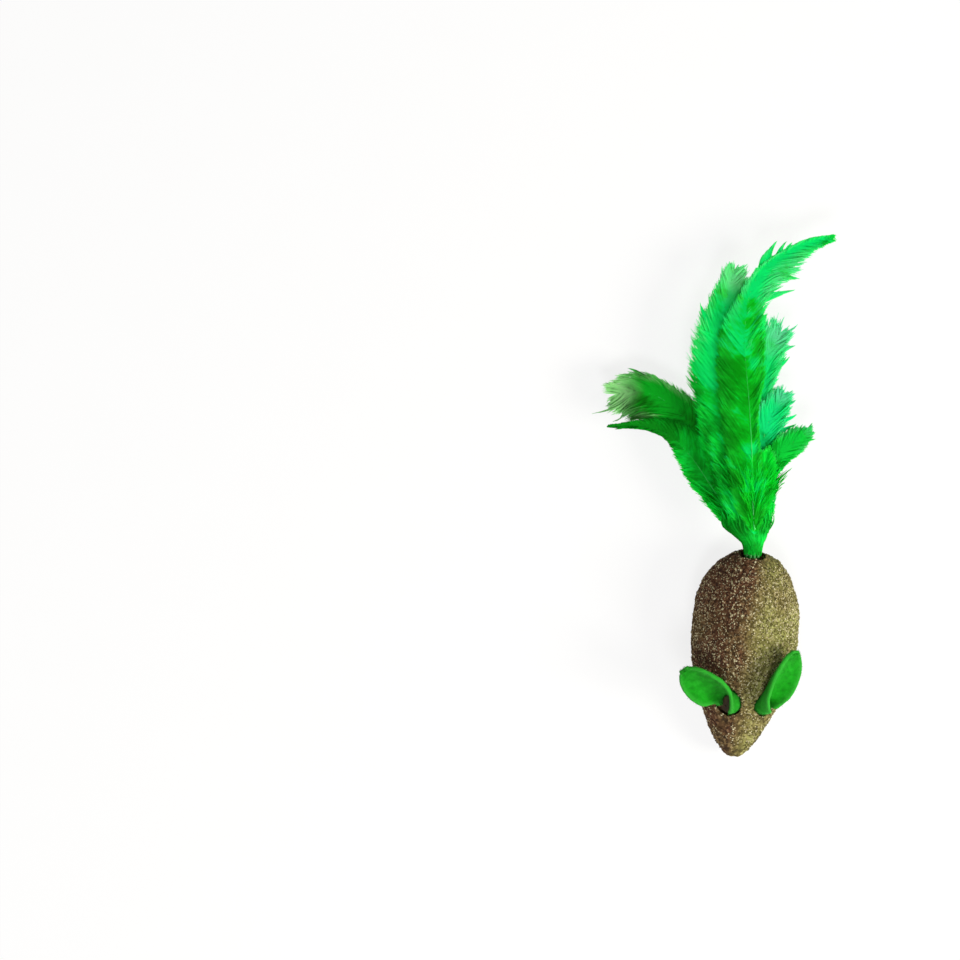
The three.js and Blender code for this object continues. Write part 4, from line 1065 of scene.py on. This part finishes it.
def makeFeathers():
    shaftStain = quillMaterial("dyedQuill", "#2cd85c", "#08b038")
    for layer, feather in enumerate(feathers):
        rng = np.random.default_rng(100 + layer)
        shaft = Shaft(feather, layer)
        parts = [shaftTube(shaft)]
        endWidth = sum(shaft.halfWidth(np.array(1.0), side) for side in (-1, 1))
        past = endWidth * tail["roundTip"] / shaft.length
        for side in (-1, 1):
            for sheet in range(tail["sheets"]):
                parts.append(vaneBarbs(rng, shaft, side, sheet, past))
        parts += [wispBarbs(rng, shaft, *wisp) for wisp in feather["wisps"]]
        parts.append(footDown(rng, shaft))
        points, faces, slots, uv, tones = joined(parts)
        materials = [featherMaterial(feather, shaft.length), shaftStain]
        smooth = np.asarray(slots) == 1
        name, values = feather["name"], {"tone": tones}
        piece = meshPiece(name + "_barbs", points, faces, materials, slots, uv, smooth, values)
        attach(piece, feather["body"])
        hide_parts(feather["name"])
        print(name, "length", round(shaft.length, 1), "mm,", len(faces), "faces")


makeFeathers()
print("feathers ready")


# What holds the tail and the ears

def dress(node, material):
    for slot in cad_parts[node].material_slots:
        slot.material = material


thread = {
    "radius": 0.22, "pitch": 0.95, "turns": 5, "stub": 7.0, "bundle": 1.864, "stepsPerTurn": 60,
    "plies": 2, "plyShare": 0.56, "twists": 9, "sides": 7,
}


def makeThread():
    wind = thread["bundle"] + tail["gap"] + thread["radius"]
    count = thread["turns"] * thread["stepsPerTurn"] + 1
    turns = np.linspace(0, thread["turns"], count)
    angle = 2 * np.pi * turns
    x0, y0, z0 = tail["point"]
    startY = y0 - tail["neckRadius"] - tail["gap"] - (thread["stub"] + thread["turns"] * thread["pitch"]) / 2
    radial = np.stack([np.cos(angle), np.zeros(count), np.sin(angle)], -1)
    middle = np.stack([np.full(count, x0), startY + thread["pitch"] * turns, np.full(count, z0)], -1)
    plies = []
    for ply in range(thread["plies"]):
        twist = (angle * thread["twists"] + 2 * np.pi * ply / thread["plies"])[:, None]
        offLine = (radial * np.cos(twist) + back * np.sin(twist)) * thread["radius"] / 2
        radii = np.full(count, thread["radius"] * thread["plyShare"])
        plies.append(tubeMesh(middle + wind * radial + offLine, radii, thread["sides"]))
    # Spun polyester thread, dyed with the feathers: matt with a twist of two plies
    material = plainMaterial("dyedThread", 0.1, 3, [(0.3, "#0c6a28"), (0.7, "#23a048")], (0.6, 0.9), {
        "IOR": 1.5, "Sheen Weight": 0.15})
    piece = meshPiece("binding_thread", *bundled(plies), [material])
    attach(piece, "body")
    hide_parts("tail_thread")


# The quills where they pass the mouth of the socket, each its own stem in a film of glue that is a little
# uneven. They end just past the ball that stands for them
neck = {"radius": 0.42, "unevenness": 0.03, "steps": 12, "sides": 12, "outermost": 1.9, "past": 0.1}


def makeNeck():
    quills, steps = [], neck["steps"]
    for feather in feathers:
        x, z = (place * tail["quillPitch"] for place in feather["quill"])
        offAxis = min(math.hypot(x, z), neck["outermost"])
        run = math.sqrt(tail["neckRadius"] ** 2 - offAxis ** 2) + neck["past"]
        y = np.linspace(-run, run, steps)
        path = tail["point"] + np.stack([np.full(steps, x), y, np.full(steps, z)], -1)
        radii = neck["radius"] + neck["unevenness"] * np.sin(y * 3 + x)
        quills.append(tubeMesh(path, radii, neck["sides"]))
    gluedQuill = quillMaterial("gluedQuill", "#1fb844", "#0c8426")
    piece = meshPiece("neck_quills", *bundled(quills), [gluedQuill])
    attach(piece, "tail_neck")
    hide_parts("quill_neck")


# Short barbs that sheathe the quills from the mouth of the socket to where the fan is open. More of them
# line its right edge, which runs straight on
neckDown = {
    "left": [
        (-2, -2.0), (1, -2.2), (2.2, -3.2), (3.2, -4.6), (4.2, -6.3), (5.5, -7.7), (7, -8.4), (12, -12.3),
    ],
    "right": [(-2, 2.1), (1, 2.2), (2.3, 2.6), (4.6, 3.5), (7, 4.3), (12, 4.1), (17.5, 3.8)],
    "height": [(-2, 2.1), (1, 2.15), (3, 2.7), (6, 3.4), (12, 4.4), (17.5, 4.6)],
    "count": 1500, "edgeCount": 260, "steps": 8, "mapStart": 0.3, "mapStep": 0.04, "seed": 77,
    "looks": {
        **usual, "name": "neck_down", "frayed": 0.1, "paleFrom": (1.1, 1.1),
        "tones": ("#04a81c", "#08dc3c", "#14f860", "#40ec80"),
    },
}


def makeNeckDown():
    rng = np.random.default_rng(neckDown["seed"])
    edging, steps = neckDown["edgeCount"], neckDown["steps"]
    count = neckDown["count"] + edging
    t = np.linspace(0, 1, steps)[None, :]
    aside = rng.uniform(-1, 1, (count, 1))
    start = rng.uniform(-1.4, 5.5, (count, 1)) * rng.uniform(0.3, 1, (count, 1))
    aside[:edging] = rng.uniform(0.5, 1, (edging, 1))
    start[:edging] = rng.uniform(3.5, 11, (edging, 1))
    level = rng.choice((-1, 1), (count, 1)) * rng.uniform(0.7, 1.05, (count, 1))
    y = start + rng.uniform(3, 6, (count, 1)) * (1 - 0.3 * np.abs(aside) ** 3) * t
    left, right, deep = (alongTable(neckDown[key], y) for key in ("left", "right", "height"))
    bend = rng.normal(0, 0.2, (count, 1)) * np.sin(t * rng.uniform(2, 4, (count, 1)))
    inward = -0.3 * aside * rng.uniform(0, 1, (count, 1)) * t
    x = (left + right) / 2 + (aside + inward) * (right - left) / 2 + bend
    z = level * deep * np.sqrt(1 - 0.8 * aside ** 2) - 0.3 * t
    z = z + rng.normal(0, 0.15, (count, 1)) * t
    paths = np.stack([x, y, z], -1) + tail["point"]
    out = np.concatenate([aside * 1.2, np.zeros((count, 1)), level], axis=1)
    out = unit(out + rng.normal(0, 0.25, (count, 3)))[:, None]
    strands = strandMesh(paths, 0.32 * (1 - 0.7 * t ** 3), out)
    uv = strandMap(neckDown["mapStart"] + neckDown["mapStep"] * y, 0, 0.5 + 0.3 * aside)
    # each strand's tone is drawn at random and falls towards the left side: painted shade of the side turned
    # from the key lamp
    tones = (rng.uniform(0.1, 1, (count, 1)) * (0.75 + 0.25 * aside)).repeat(3 * steps)
    material = featherMaterial(neckDown["looks"], 12)
    piece = meshPiece("neck_down", *strands, [material], uv=uv, smooth=False, values={"tone": tones})
    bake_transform(piece)


# Brown bone glue: dark amber, smooth as it set
setGlue = plainMaterial("setGlue", 1.5, 2, [(0.3, "#2a1f12"), (0.7, "#4c3b22")], (0.2, 0.4), {
    "IOR": 1.5, "Subsurface Weight": 0.2, "Subsurface Radius": (1.0 * mm, 0.8 * mm, 0.4 * mm),
})
for node in ("ear_left_glue", "ear_right_glue", "tail_glue"):
    dress(node, setGlue)
dress("quill_ends", quillMaterial("bareQuill", "#8fd690", "#2f9a48"))
makeThread()
makeNeck()
makeNeckDown()
print("bindings ready")

print("all pieces made")
